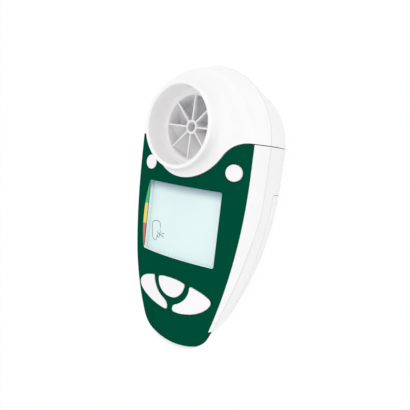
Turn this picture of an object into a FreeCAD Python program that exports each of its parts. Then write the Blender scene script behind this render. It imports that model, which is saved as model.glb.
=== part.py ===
import FreeCAD, Part
import math
import os
import Sketcher

# A hand-held lung function monitor with a removable turbine flowhead.
# The unit lies on its back: +X is its right side, +Y runs from the toe to the
# flowhead, and +Z points out of the front, along the flow tube. Lengths are in
# millimetres and angles in degrees.

SIZES = (
    # overall form
    ("body_length", 117.0, "toe to crown"),
    ("body_width", 62.6, "across the parting line"),
    ("parting_height", 23.5, "parting line above the back"),
    ("crest_height", 36.8, "highest line of the front face"),
    ("rim_height", 43.0, "rim of the mouthpiece socket above the back"),
    ("crown_radius", 84.0, "front face, from side to side"),
    ("seam_lift", 1.6, "seam above the centre of the head"),
    ("flank_radius", 195.0, "plan curve of each side"),
    ("flank_drop", 9.8, "straight stretch below the centre of the head"),
    ("toe_radius", 36.0, "plan curve of the toe"),
    ("toe_corner", 12.0, "plan curve between flank and toe"),
    ("rear_flank_radius", 142.0, "plan curve of each side of the rear shell"),
    ("rear_toe_inset", 3.2, "toe of the rear shell inside the toe of the front"),
    ("parting_rise_start", 32.0, "flow axis to where the parting line starts to climb"),
    ("parting_rise", 7.5, "climb of the parting line towards the toe"),
    ("toe_roll_start", 41.5, "distance from the toe where the face starts to drop"),
    ("toe_roll_radius", 149.0, "drop of the face towards the toe"),
    ("brow_start", 20.5, "distance from the crown end where the face starts to drop"),
    ("brow_radius", 34.0, "drop of the face over the flowhead"),
    ("front_draft", 15.4, "lean of the front side band"),
    ("rear_draft", 16.0, "lean of the rear shell's side"),
    ("back_rise_start", 50.0, "flow axis to where the back starts to climb"),
    ("back_rise", 7.6, "climb of the back towards the toe"),
    ("back_rise_radius", 60.0, "blend at the start of the climb"),
    ("back_round", 7.0, "round between side and back"),
    # walls and clearances
    ("front_wall", 2.5, "front shell with its label"),
    ("label_thickness", 1.0, "green fascia"),
    ("rear_wall", 2.0, "rear shell and battery door"),
    ("end_wall", 1.3, "walls along the flowhead joint"),
    ("split_gap", 0.15, "each side of the flowhead joint"),
    ("door_gap", 0.2, "round the battery door"),
    ("key_gap", 0.25, "round each key"),
    ("seat_gap", 0.1, "between seated inner pieces"),
    ("turbine_gap", 0.05, "turbine pieces in their tube"),
    # flowhead joint
    ("tube_offset", 4.2, "flow axis above the seam"),
    ("skirt_radius", 20.6, "flowhead skirt below the tube"),
    ("skirt_lift", 0.6, "centre of the skirt above the flow axis"),
    ("skirt_round", 12.0, "curve from the skirt to the seam"),
    # label
    ("label_margin", 2.2, "edge of the face inside the parting line"),
    ("toe_wrap_start", 79.0, "flow axis to the top of the toe wrap"),
    # display
    ("window_top", 23.4, "flow axis to the top of the display"),
    ("window_width", 38.8, "display window"),
    ("window_height", 29.4, "display window"),
    ("window_round", 0.8, "corners of the display window"),
    ("lens_thickness", 1.0, "display lens"),
    ("lens_border", 1.2, "lens under the edge of the label"),
    ("scale_bulge", 2.2, "width of the colour scale"),
    ("scale_inset", 1.3, "scale ends inside the window's corners"),
    ("scale_thickness", 0.6, "colour scale"),
    # keys
    ("button_x", 23.0, "power button from the centre line"),
    ("button_drop", 15.5, "flow axis to the power button"),
    ("button_radius", 3.26, "power button"),
    ("key_proud", 0.6, "keys above the face"),
    ("key_travel", 0.7, "press of a key"),
    ("key_flange", 0.8, "skirt of a key under the shell"),
    ("keys_top", 61.0, "flow axis to the top of the keys"),
    ("keys_bottom", 75.1, "flow axis to the foot of the keys"),
    ("keys_top_radius", 49.0, "upper arc of the key group"),
    ("keys_bottom_radius", 38.0, "lower arc of the key group"),
    ("keys_tip_round", 3.0, "ends of the key group"),
    ("enter_drop", 61.4, "flow axis to the centre of the enter key"),
    ("enter_radius", 7.5, "enter key"),
    ("key_band", 2.3, "band between the keys"),
    ("key_stem", 3.0, "stem of the band"),
    # electronics
    ("board_height", 24.6, "underside of the main board above the back"),
    ("board_thickness", 1.6, "main board"),
    ("board_inset", 3.4, "main board inside the outline of the rear shell"),
    ("mat_thickness", 1.4, "silicone key mat"),
    ("glass_thickness", 2.2, "display glass"),
    ("glass_top", 31.4, "front of the display glass above the back"),
    ("glass_border", 0.8, "glass beyond the window on each side"),
    ("connector_width", 2.0, "rubber display connector"),
    ("frame_wall", 0.6, "display frame"),
    ("switch_size", 4.2, "power switch"),
    ("switch_height", 1.3, "power switch"),
    ("chip_size", 10.0, "controller"),
    ("chip_height", 1.2, "controller"),
    ("buzzer_radius", 5.0, "buzzer"),
    ("buzzer_height", 2.6, "buzzer"),
    ("sensor_x", 24.8, "infra-red sensor from the centre line"),
    ("sensor_drop", 9.6, "flow axis to the infra-red sensor"),
    ("sensor_size", 3.0, "infra-red sensor housing"),
    ("sensor_height", 3.4, "infra-red sensor housing"),
    # power
    ("door_top", 23.2, "flow axis to the top of the battery door"),
    ("door_split", 12.0, "edge of the battery door above the back"),
    ("tray_thickness", 1.4, "battery tray"),
    ("cell_length", 44.5, "battery cell"),
    ("cell_radius", 5.25, "battery cell"),
    ("cell_spacing", 11.4, "between the cell axes"),
    ("cell_nub_radius", 1.9, "positive end of a cell"),
    ("cell_nub_height", 0.8, "positive end of a cell"),
    ("cell_gap", 0.3, "round each cell"),
    ("contact_room", 2.3, "beyond each end of the cells"),
    ("contact_size", 6.4, "contact plate"),
    ("contact_thickness", 0.4, "contact plate"),
    ("spring_reach", 2.9, "contact spring above and below the cell axis"),
    ("spring_width", 4.0, "contact spring"),
    ("spring_thickness", 0.3, "strip of a contact spring"),
    # flowhead
    ("tube_radius", 16.9, "outside of the mouthpiece socket"),
    ("rim_round", 0.7, "lip of the socket"),
    ("socket_radius", 15.3, "bore of the mouthpiece socket"),
    ("socket_depth", 8.8, "rim to the turbine"),
    ("flare_radius", 5.0, "flare at the foot of the socket"),
    ("sleeve_wall", 1.8, "inner sleeve of the flowhead"),
    ("flowhead_wall", 2.0, "dome of the flowhead"),
    ("turbine_radius", 14.0, "outside of the turbine tube"),
    ("bore_radius", 13.0, "bore of the turbine tube"),
    ("outlet_lip", 2.2, "lip that holds the turbine tube at the back"),
    # turbine
    ("stator_depth", 6.8, "length of the swirl vanes"),
    ("stator_ring", 0.5, "outer ring of the stator"),
    ("vane_thickness", 0.7, "swirl vane"),
    ("vane_twist", 42.0, "turn of a swirl vane over its length"),
    ("vane_lead", 2.0, "front edge of the first vane past the X axis"),
    ("hub_radius", 2.8, "hub of the stator"),
    ("hub_hollow", 1.9, "open front of the hub"),
    ("hub_floor", 2.6, "solid rear of the hub"),
    ("bearing_radius", 1.2, "jewel bearing"),
    ("bearing_length", 1.4, "jewel bearing"),
    ("spindle_radius", 0.4, "rotor spindle"),
    ("spindle_gap", 0.05, "spindle in its bearings"),
    ("rotor_radius", 12.1, "reach of the rotor vane"),
    ("rotor_height", 10.0, "depth of the rotor vane"),
    ("rotor_thickness", 0.6, "rotor vane"),
    ("rotor_hub", 1.0, "hub of the rotor"),
    ("rotor_room", 1.5, "between the rotor and each stator"),
    ("spider_depth", 4.0, "rear stator"),
    ("spider_leg", 1.2, "leg of the rear stator"),
    # fasteners
    ("screw_x", 15.5, "upper case screws from the centre line"),
    ("screw_drop", 57.2, "flow axis to the upper case screws"),
    ("toe_screw_drop", 79.5, "flow axis to the toe screw"),
    ("screw_radius", 1.0, "case screw"),
    ("screw_head_radius", 2.0, "case screw"),
    ("screw_head_height", 1.3, "case screw"),
    ("screw_length", 10.0, "case screw under its head"),
    ("screw_gap", 0.15, "round the case screws"),
    ("boss_radius", 2.6, "screw boss"),
)
VANE_COUNT = 8
SPIDER_LEGS = 4
VANE_STEPS = 4

UP = FreeCAD.Vector(0, 0, 1)
FACING_FRONT = FreeCAD.Rotation(FreeCAD.Vector(1, 0, 0), 90)
FACING_SIDE = FreeCAD.Rotation(FreeCAD.Vector(1, 1, 1), 120)
ALONG_LENGTH = FreeCAD.Rotation(FreeCAD.Vector(1, 0, 0), -90)

doc = FreeCAD.newDocument("lung_function_monitor")
sheet = doc.addObject("Spreadsheet::Sheet", "Sizes")
parts = []


class Size:
    """A length that carries its number and the sheet expression behind it."""

    def __init__(self, text, number):
        self.text = text
        self.number = float(number)

    def __add__(self, other):
        return combine(self, "+", other)

    def __radd__(self, other):
        return combine(other, "+", self)

    def __sub__(self, other):
        return combine(self, "-", other)

    def __rsub__(self, other):
        return combine(other, "-", self)

    def __mul__(self, other):
        return combine(self, "*", other)

    def __rmul__(self, other):
        return combine(other, "*", self)

    def __truediv__(self, other):
        return combine(self, "/", other)

    def __neg__(self):
        return combine(0, "-", self)

    def __float__(self):
        return self.number


OPERATIONS = {
    "+": lambda a, b: a + b,
    "-": lambda a, b: a - b,
    "*": lambda a, b: a * b,
    "/": lambda a, b: a / b,
}


def as_size(value):
    if isinstance(value, Size):
        return value
    return Size(f"({value})", value)


def combine(first, sign, second):
    first, second = as_size(first), as_size(second)
    number = OPERATIONS[sign](first.number, second.number)
    return Size(f"({first.text} {sign} {second.text})", number)


def tangent(angle):
    return Size(f"tan({angle.text})", math.tan(math.radians(angle.number)))


def fill_sheet():
    """Writes the driving sizes to the sheet and returns them by name."""
    sizes = {}
    for row, (name, value, note) in enumerate(SIZES, start=1):
        sheet.set(f"A{row}", note)
        sheet.set(f"B{row}", str(value))
        sheet.setAlias(f"B{row}", name)
        sizes[name] = Size(f"Sizes.{name}", value)
    doc.recompute()
    return sizes


class Named:
    """The driving sizes as attributes."""

    def __init__(self, sizes):
        self.__dict__.update(sizes)


d = Named(fill_sheet())


# Helpers that bind document objects to the sheet

def drive(item, path, value):
    """Binds one property of an object to a size."""
    if isinstance(value, Size):
        item.setExpression(path, value.text)
    else:
        item.setExpression(path, str(value))


def place(item, x=0, y=0, z=0, turn=None):
    item.Placement = FreeCAD.Placement(
        FreeCAD.Vector(float(x), float(y), float(z)), turn or FreeCAD.Rotation())
    for axis, value in (("x", x), ("y", y), ("z", z)):
        if isinstance(value, Size):
            drive(item, f"Placement.Base.{axis}", value)
    return item


def box(name, x_low, x_high, y_low, y_high, z_low, z_high):
    item = doc.addObject("Part::Box", name)
    drive(item, "Length", as_size(x_high) - x_low)
    drive(item, "Width", as_size(y_high) - y_low)
    drive(item, "Height", as_size(z_high) - z_low)
    return place(item, x_low, y_low, z_low)


def cylinder(name, radius, z_low, z_high, x=0, y=0):
    item = doc.addObject("Part::Cylinder", name)
    drive(item, "Radius", radius)
    drive(item, "Height", as_size(z_high) - z_low)
    return place(item, x, y, z_low)


def rod(name, radius, x, y_low, y_high, z):
    """A cylinder that lies along Y."""
    item = doc.addObject("Part::Cylinder", name)
    drive(item, "Radius", radius)
    drive(item, "Height", as_size(y_high) - y_low)
    return place(item, x, y_low, z, ALONG_LENGTH)


def fuse(name, *shapes):
    item = doc.addObject("Part::MultiFuse", name)
    item.Shapes = list(shapes)
    item.Refine = True
    return item


def common(name, *shapes):
    item = doc.addObject("Part::MultiCommon", name)
    item.Shapes = list(shapes)
    item.Refine = True
    return item


def cut(name, base, *tools):
    item = doc.addObject("Part::Cut", name)
    item.Base = base
    item.Tool = tools[0] if len(tools) == 1 else fuse(f"{name}_tools", *tools)
    item.Refine = True
    return item


def rounded(name, base, radius, chosen):
    """Fillets every edge of the base that the test picks."""
    doc.recompute()
    start = float(radius)
    edges = []
    for number, edge in enumerate(base.Shape.Edges, start=1):
        if chosen(edge):
            edges.append((number, start, start))
    item = doc.addObject("Part::Fillet", name)
    item.Base = base
    item.Edges = edges
    return item


def keep(item, label):
    """Names a finished sub-part."""
    item.Label = label
    parts.append(item)
    return item


def upright(edge):
    box_of = edge.BoundBox
    return box_of.XLength < 1e-6 and box_of.YLength < 1e-6 and box_of.ZLength > 1e-3


def pin(sketch, kind, *where, value):
    """Adds one driven dimension to a sketch."""
    number = sketch.addConstraint(Sketcher.Constraint(kind, *where, float(value)))
    if isinstance(value, Size):
        drive(sketch, f"Constraints[{number}]", value)


def pin_point(sketch, line, end, x, y):
    """Holds one end of a line at x, y from the sketch's origin."""
    for kind, value, axis in (("DistanceX", x, -2), ("DistanceY", y, -1)):
        if float(value) == 0:
            sketch.addConstraint(Sketcher.Constraint("PointOnObject", line, end, axis))
        else:
            pin(sketch, kind, -1, 1, line, end, value=value)


def draw_polygon(sketch, points):
    """Draws a closed outline of straight lines, every corner driven."""
    corners = [FreeCAD.Vector(float(x), float(y), 0) for x, y in points]
    count = len(corners)
    for number in range(count):
        sketch.addGeometry(Part.LineSegment(corners[number], corners[(number + 1) % count]))
    for number in range(count):
        sketch.addConstraint(
            Sketcher.Constraint("Coincident", number, 2, (number + 1) % count, 1))
    for number, (x, y) in enumerate(points):
        pin_point(sketch, number, 1, x, y)


def body_sketch(body, name, plane, lift=0, turn=0):
    """A sketch on one of the body's own origin planes."""
    sketch = body.newObject("Sketcher::SketchObject", name)
    support = [item for item in body.Origin.OriginFeatures if item.Role == plane][0]
    sketch.AttachmentSupport = (support, [""])
    sketch.MapMode = "FlatFace"
    sketch.AttachmentOffset = FreeCAD.Placement(
        FreeCAD.Vector(0, 0, float(lift)), FreeCAD.Rotation(UP, float(turn)))
    if isinstance(lift, Size):
        drive(sketch, "AttachmentOffset.Base.z", lift)
    return sketch


def turned(name, points, x=0, y=0, z=0, turn=None):
    """A body of revolution about its own Z axis, from radius and height points."""
    body = doc.addObject("PartDesign::Body", name)
    sketch = body_sketch(body, f"{name}_profile", "XZ_Plane")
    draw_polygon(sketch, points)
    feature = body.newObject("PartDesign::Revolution", f"{name}_turn")
    feature.Profile = sketch
    feature.ReferenceAxis = (sketch, ["V_Axis"])
    feature.Angle = 360
    return place(body, x, y, z, turn)


# Places that the pieces share

half_width = d.body_width / 2
crown_end = d.body_length / 2
toe_end = -d.body_length / 2
head_y = crown_end - half_width
seam_y = head_y + d.seam_lift
axis_y = seam_y + d.tube_offset
flank_y = head_y - d.flank_drop
form_top = d.rim_height + 1
inner_depth = d.front_wall
board_top = d.board_height + d.board_thickness
turbine_front = d.rim_height - d.socket_depth
sleeve_bore = d.turbine_radius + d.turbine_gap
sleeve_radius = sleeve_bore + d.sleeve_wall
low = -5
high = d.rim_height + 10
wide = d.body_width


def down(distance):
    """A place on the length, measured from the flow axis towards the toe."""
    return axis_y - distance


# Forms that several pieces share

class Plan:
    """The sizes that tell one plan outline from another."""

    def __init__(self, flank, toe_end):
        self.flank = flank
        self.toe_end = toe_end


FRONT = Plan(d.flank_radius, toe_end)
REAR = Plan(d.rear_flank_radius, toe_end + d.rear_toe_inset)


def corner_centre(toe_y, toe, flank_x, flank, corner):
    """Centre of the right-hand arc that touches both the toe arc and the flank."""
    rise = float(flank_y) - toe_y
    span = math.hypot(flank_x, rise)
    near = toe - corner
    far = flank - corner
    along = (near * near - far * far + span * span) / (2 * span)
    across = math.sqrt(near * near - along * along)
    cos, sin = -flank_x / span, rise / span
    return along * cos - across * sin, toe_y + along * sin + across * cos


def outline_sketch(name, plan, height, inset):
    """A plan outline: head circle, straights, flanks, corners and toe arc."""
    sketch = doc.addObject("Sketcher::SketchObject", name)
    head = half_width - inset
    flank = plan.flank - inset
    corner = d.toe_corner - inset
    toe = d.toe_radius - inset
    toe_y = plan.toe_end + d.toe_radius
    flank_x = float(plan.flank - half_width)
    side_x = float(head)
    corner_x, corner_y = corner_centre(
        float(toe_y), float(toe), flank_x, float(flank), float(corner))
    flank_end = math.atan2(float(flank_y) - corner_y, flank_x + corner_x)
    toe_turn = math.atan2(corner_x, float(toe_y) - corner_y)
    bottom = 3 * math.pi / 2

    def arc(x, y, radius, start, end):
        circle = Part.Circle(FreeCAD.Vector(float(x), float(y), 0), UP, float(radius))
        sketch.addGeometry(Part.ArcOfCircle(circle, start, end))

    def straight(x, y_start, y_end):
        sketch.addGeometry(Part.LineSegment(
            FreeCAD.Vector(x, float(y_start), 0), FreeCAD.Vector(x, float(y_end), 0)))

    arc(0, head_y, head, 0, math.pi)
    straight(-side_x, head_y, flank_y)
    arc(flank_x, flank_y, flank, math.pi, math.pi + flank_end)
    arc(-corner_x, corner_y, corner, math.pi + flank_end, bottom - toe_turn)
    arc(0, toe_y, toe, bottom - toe_turn, bottom + toe_turn)
    arc(corner_x, corner_y, corner, bottom + toe_turn, 2 * math.pi - flank_end)
    arc(-flank_x, flank_y, flank, -flank_end, 0)
    straight(side_x, flank_y, head_y)
    for number in range(8):
        sketch.addConstraint(
            Sketcher.Constraint("Tangent", number, 2, (number + 1) % 8, 1))
    for number in (0, 4):
        sketch.addConstraint(Sketcher.Constraint("PointOnObject", number, 3, -2))
    for number in (1, 7):
        sketch.addConstraint(Sketcher.Constraint("Vertical", number))
    for number, radius in (
            (0, head), (2, flank), (3, corner), (4, toe), (5, corner), (6, flank)):
        pin(sketch, "Radius", number, value=radius)
    pin(sketch, "DistanceY", -1, 1, 0, 3, value=head_y)
    pin(sketch, "DistanceY", -1, 1, 4, 3, value=toe_y)
    pin(sketch, "DistanceY", 1, 2, 1, 1, value=d.flank_drop)
    pin(sketch, "DistanceY", 7, 1, 7, 2, value=d.flank_drop)
    return place(sketch, 0, 0, height)


def prism(name, plan, inset, z_low, z_high):
    """A plan outline, drawn in by an inset and raised straight up."""
    item = doc.addObject("Part::Extrusion", name)
    item.Base = outline_sketch(f"{name}_outline", plan, z_low, inset)
    item.DirMode = "Custom"
    item.Dir = UP
    item.Solid = True
    drive(item, "LengthFwd", as_size(z_high) - z_low)
    return item


def leaning(name, plan, low_height, low_inset, high_height, high_inset):
    """A straight-sided solid between two sizes of a plan outline."""
    item = doc.addObject("Part::Loft", name)
    item.Sections = [
        outline_sketch(f"{name}_low", plan, low_height, low_inset),
        outline_sketch(f"{name}_high", plan, high_height, high_inset)]
    item.Solid = True
    item.Ruled = True
    return item


def pillow(name, depth):
    """Everything under the crowned face, taken down by a depth."""
    section = doc.addObject("Sketcher::SketchObject", f"{name}_section")
    radius = d.crown_radius - depth
    centre_z = d.crest_height - d.crown_radius
    reach = half_width + 3
    foot = d.parting_height - 1
    sweep = math.asin(float(reach) / float(radius))
    shoulder = float(centre_z) + float(radius) * math.cos(sweep)
    circle = Part.Circle(FreeCAD.Vector(0, float(centre_z), 0), UP, float(radius))
    section.addGeometry(
        Part.ArcOfCircle(circle, math.pi / 2 - sweep, math.pi / 2 + sweep))
    corners = [
        FreeCAD.Vector(-float(reach), shoulder, 0),
        FreeCAD.Vector(-float(reach), float(foot), 0),
        FreeCAD.Vector(float(reach), float(foot), 0),
        FreeCAD.Vector(float(reach), shoulder, 0)]
    for start, end in zip(corners, corners[1:]):
        section.addGeometry(Part.LineSegment(start, end))
    for number in range(4):
        section.addConstraint(
            Sketcher.Constraint("Coincident", number, 2, (number + 1) % 4, 1))
    section.addConstraint(Sketcher.Constraint("Vertical", 1))
    section.addConstraint(Sketcher.Constraint("Horizontal", 2))
    section.addConstraint(Sketcher.Constraint("Vertical", 3))
    section.addConstraint(Sketcher.Constraint("PointOnObject", 0, 3, -2))
    pin(section, "Radius", 0, value=radius)
    pin(section, "DistanceY", -1, 1, 0, 3, value=centre_z)
    pin(section, "DistanceX", -1, 1, 2, 1, value=-reach)
    pin(section, "DistanceX", -1, 1, 2, 2, value=reach)
    pin(section, "DistanceY", -1, 1, 2, 1, value=foot)
    roll_y = toe_end + d.toe_roll_start
    brow_y = crown_end - d.brow_start
    place(section, 0, roll_y, 0, FACING_FRONT)

    straight = doc.addObject("Part::Extrusion", f"{name}_straight")
    straight.Base = section
    straight.DirMode = "Custom"
    straight.Dir = FreeCAD.Vector(0, 1, 0)
    straight.Solid = True
    drive(straight, "LengthFwd", brow_y - roll_y)

    def rolled(tag, source, y, radius, direction, angle):
        item = doc.addObject("Part::Revolution", f"{name}_{tag}")
        item.Source = source
        item.Axis = FreeCAD.Vector(direction, 0, 0)
        item.Base = FreeCAD.Vector(0, float(y), float(d.crest_height - radius))
        drive(item, "Base.y", y)
        drive(item, "Base.z", d.crest_height - radius)
        item.Angle = angle
        item.Solid = True
        return item

    far_section = doc.copyObject(section)
    far_section.Label = f"{name}_far_section"
    place(far_section, 0, brow_y, 0, FACING_FRONT)
    toe = rolled("toe", section, roll_y, d.toe_roll_radius, 1, 20)
    brow = rolled("brow", far_section, brow_y, d.brow_radius, -1, 65)
    return fuse(name, straight, toe, brow)


def front_form(name, depth=0):
    """The outside of the front half, taken in by a depth."""
    rise = form_top - d.parting_height
    band = leaning(
        f"{name}_band", FRONT, d.parting_height, as_size(depth),
        form_top, rise * tangent(d.front_draft) + depth)
    return common(name, band, pillow(f"{name}_pillow", depth))


def side_extrusion(name, profile, x_low=None, x_high=None):
    """Runs a side profile, drawn along Y and Z, across the width."""
    start = -wide if x_low is None else x_low
    end = wide if x_high is None else x_high
    place(profile, start, 0, 0, FACING_SIDE)
    item = doc.addObject("Part::Extrusion", name)
    item.Base = profile
    item.DirMode = "Custom"
    item.Dir = FreeCAD.Vector(1, 0, 0)
    item.Solid = True
    drive(item, "LengthFwd", end - start)
    return item


def above_back(name, depth):
    """Everything above the back: flat under the flowhead, then climbing to the toe."""
    profile = doc.addObject("Sketcher::SketchObject", f"{name}_profile")
    radius = d.back_rise_radius
    kink = down(d.back_rise_start)
    bend = kink + radius * tangent(d.back_rise / 2)
    start = crown_end + 5
    end = toe_end - 5
    end_z = (kink - end) * tangent(d.back_rise) + depth
    angle = math.radians(float(d.back_rise))
    corners = [
        FreeCAD.Vector(float(y), float(z), 0)
        for y, z in ((bend, depth), (start, depth), (start, form_top), (end, form_top),
                     (end, end_z))]
    centre = corners[0] + FreeCAD.Vector(0, float(radius), 0)
    touch = centre + FreeCAD.Vector(-math.sin(angle), -math.cos(angle), 0) * float(radius)
    corners.append(touch)
    for first, second in zip(corners, corners[1:]):
        profile.addGeometry(Part.LineSegment(first, second))
    circle = Part.Circle(centre, UP, float(radius))
    profile.addGeometry(Part.ArcOfCircle(circle, 3 * math.pi / 2 - angle, 3 * math.pi / 2))
    for number in range(4):
        profile.addConstraint(Sketcher.Constraint("Coincident", number, 2, number + 1, 1))
    profile.addConstraint(Sketcher.Constraint("Tangent", 4, 2, 5, 1))
    profile.addConstraint(Sketcher.Constraint("Tangent", 5, 2, 0, 1))
    for number, (y, z) in enumerate((
            (bend, depth), (start, depth), (start, form_top), (end, form_top), (end, end_z))):
        pin_point(profile, number, 1, y, z)
    pin(profile, "Radius", 5, value=radius)
    return side_extrusion(name, profile)


def below_parting(name):
    """Everything under the parting line, which climbs towards the toe."""
    profile = doc.addObject("Sketcher::SketchObject", f"{name}_profile")
    head = crown_end + 5
    start = down(d.parting_rise_start)
    end = toe_end - 5
    climbed = d.parting_height + (start - end) * tangent(d.parting_rise)
    draw_polygon(profile, (
        (head, low), (head, d.parting_height), (start, d.parting_height),
        (end, climbed), (end, low)))
    return side_extrusion(name, profile)


def rear_form(name, depth=0):
    """The outside of the rear half, taken in by a depth."""
    lean = tangent(d.rear_draft)
    half = leaning(
        f"{name}_half", REAR, as_size(depth), (d.parting_height - depth) * lean + depth,
        form_top, depth - (form_top - d.parting_height) * lean)
    hull = common(
        f"{name}_hull", half, above_back(f"{name}_profile", as_size(depth)), parting)
    top = float(d.parting_height)

    def back_edge(edge):
        """Edges of the underside: they reach its height and aren't on a side wall."""
        box_of = edge.BoundBox
        if box_of.ZMax > top - 1:
            return False
        return any(lies_below(face) for face in faces_of(hull, edge))

    def lies_below(face):
        low_u, high_u, low_v, high_v = face.ParameterRange
        return face.normalAt((low_u + high_u) / 2, (low_v + high_v) / 2).z < -0.9

    def faces_of(item, edge):
        return [face for face in item.Shape.Faces
                if any(edge.isSame(other) for other in face.Edges)]

    def outline_edge(edge):
        sides = [lies_below(face) for face in faces_of(hull, edge)]
        return back_edge(edge) and not all(sides)

    return rounded(name, hull, d.back_round - depth, outline_edge)


def head_zone(name, grow=0):
    """The room of the flowhead: above the seam, and round the tube below it."""
    upper = box(f"{name}_upper", -wide, wide, seam_y - grow, crown_end + wide, low, high)
    skirt = cylinder(
        f"{name}_skirt", d.skirt_radius + grow, low, high, 0, axis_y + d.skirt_lift)
    both = fuse(f"{name}_both", upper, skirt)
    seam = float(seam_y - grow)
    reach = float(d.skirt_radius) + abs(float(grow)) + 1

    def corner(edge):
        box_of = edge.BoundBox
        return upright(edge) and abs(box_of.YMin - seam) < 1e-4 and abs(box_of.XMin) < reach

    return rounded(name, both, d.skirt_round - grow, corner)


# Shared solids, made once

parting = below_parting("parting")
outer_front = front_form("outer_front")
under_label = front_form("under_label", d.label_thickness)
inner_front = front_form("inner_front", inner_depth)
outer_rear = rear_form("outer_rear")
inner_rear = rear_form("inner_rear", d.rear_wall)
zone = head_zone("joint_zone", d.split_gap)
wall_zone = head_zone("wall_zone", d.split_gap + d.end_wall)
inner_zone = head_zone("inner_zone", -(d.split_gap + d.flowhead_wall))
flowhead_zone = head_zone("flowhead_zone", -d.split_gap)

# Battery bay heights

cells_top = d.door_top + d.contact_room
cells_bottom = cells_top + d.cell_length
cell_rise = (cells_bottom - d.back_rise_start) * tangent(d.back_rise)
cell_z = cell_rise + d.rear_wall + d.cell_gap * 2 + d.cell_radius
tray_height = cell_z + d.cell_radius + d.cell_gap


# Key outlines

def key_group(name, grow):
    """The leaf shape that the three keys share."""
    upper = cylinder(
        f"{name}_upper", d.keys_top_radius + grow, low, high,
        0, down(d.keys_top + d.keys_top_radius))
    lower = cylinder(
        f"{name}_lower", d.keys_bottom_radius + grow, low, high,
        0, down(d.keys_bottom - d.keys_bottom_radius))
    leaf = common(f"{name}_leaf", upper, lower)
    return rounded(name, leaf, d.keys_tip_round + grow, upright)


def enter_prism(name, grow):
    disc = cylinder(f"{name}_disc", d.enter_radius + grow, low, high, 0, down(d.enter_drop))
    return common(name, disc, key_group(f"{name}_group", grow))


def side_prism(name, grow, side):
    """The key left or right of the enter key: side is -1 or 1."""
    half_stem = d.key_stem / 2 - grow
    start, end = (half_stem, wide) if side > 0 else (-wide, -half_stem)
    half = box(f"{name}_half", start, end, down(100), axis_y, low, high)
    hole = cylinder(
        f"{name}_hole", d.enter_radius + d.key_band - grow, low, high,
        0, down(d.enter_drop))
    group = common(f"{name}_side", half, key_group(f"{name}_group", grow))
    return cut(name, group, hole)


def button_prism(name, grow):
    return cylinder(name, d.button_radius + grow, low, high, d.button_x, down(d.button_drop))


# Display outlines

def window_prism(name, grow, z_low=low, z_high=high):
    item = box(
        f"{name}_block", -(d.window_width / 2 + grow), d.window_width / 2 + grow,
        down(d.window_top + d.window_height + grow), down(d.window_top - grow),
        z_low, z_high)
    return rounded(name, item, d.window_round, upright)


def scale_prism(name, grow):
    """The lens-shaped colour scale beside the window."""
    edge = -d.window_width / 2
    chord = d.window_height / 2 - d.scale_inset
    radius = (chord * chord + d.scale_bulge * d.scale_bulge) / (2 * d.scale_bulge)
    middle = down(d.window_top + d.window_height / 2)
    disc = cylinder(
        f"{name}_disc", radius + grow, low, high, edge - d.scale_bulge + radius, middle)
    side = box(f"{name}_side", -wide, edge + grow, down(100), axis_y, low, high)
    return common(name, disc, side)


# Housing

def label_solid(name):
    """The green fascia before its openings: the face and the wrap round the toe."""
    skin = cut(f"{name}_skin", outer_front, under_label)
    face = prism(f"{name}_face", FRONT, d.label_margin, d.parting_height + 1, form_top)
    wrap = box(
        f"{name}_wrap", -wide, wide, toe_end - 5, down(d.toe_wrap_start),
        d.parting_height, form_top)
    room = fuse(f"{name}_room", face, wrap)
    return cut(name, common(f"{name}_layer", skin, room), zone, parting)


def openings(name, grow):
    """Everything that passes through the face."""
    return fuse(
        name,
        button_prism(f"{name}_button", grow),
        enter_prism(f"{name}_enter", grow),
        side_prism(f"{name}_left", grow, -1),
        side_prism(f"{name}_right", grow, 1))


key_openings = openings("key_openings", d.key_gap)


def screw_places():
    return (
        (-d.screw_x, down(d.screw_drop)),
        (d.screw_x, down(d.screw_drop)),
        (0, down(d.toe_screw_drop)))


def make_front():
    label = label_solid("label")
    window = window_prism("window", 0)
    scale = scale_prism("scale_room", 0)
    fascia = cut("fascia_cut", label, key_openings, window, scale)
    keep(fascia, "fascia")

    lens_floor = d.label_thickness + d.lens_thickness
    lens_layer = cut(
        "lens_layer", under_label, front_form("under_lens", lens_floor))
    lens_room = common(
        "lens_room", lens_layer, window_prism("lens_outline", d.lens_border))
    lens = common(
        "lens_common", lens_layer,
        window_prism("lens_edge", d.lens_border - d.seat_gap))
    keep(lens, "display_lens")

    scale_floor = front_form("under_scale", d.label_thickness - d.scale_thickness)
    strip = common("scale_strip", cut("scale_layer", scale_floor, under_label), scale)
    keep(strip, "colour_scale")

    hollow = cut("front_hollow", inner_front, wall_zone)
    shell = cut(
        "front_shell_cut", outer_front, label, hollow, zone, lens_room,
        window_prism("window_through", 0), key_openings, parting)
    posts = []
    for number, (x, y) in enumerate(screw_places()):
        post = cylinder(f"front_post_{number}", d.boss_radius, board_top, form_top, x, y)
        post_end = common(
            f"front_post_end_{number}", post,
            front_form(f"post_limit_{number}", d.label_thickness + 0.5))
        hole = cylinder(
            f"front_post_hole_{number}", d.screw_radius + d.screw_gap / 3,
            low, tray_height + d.screw_head_height + d.screw_length + 1, x, y)
        posts.append(cut(f"front_post_drilled_{number}", post_end, hole))
    keep(fuse("front_shell_fuse", shell, *posts), "front_shell")


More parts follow.
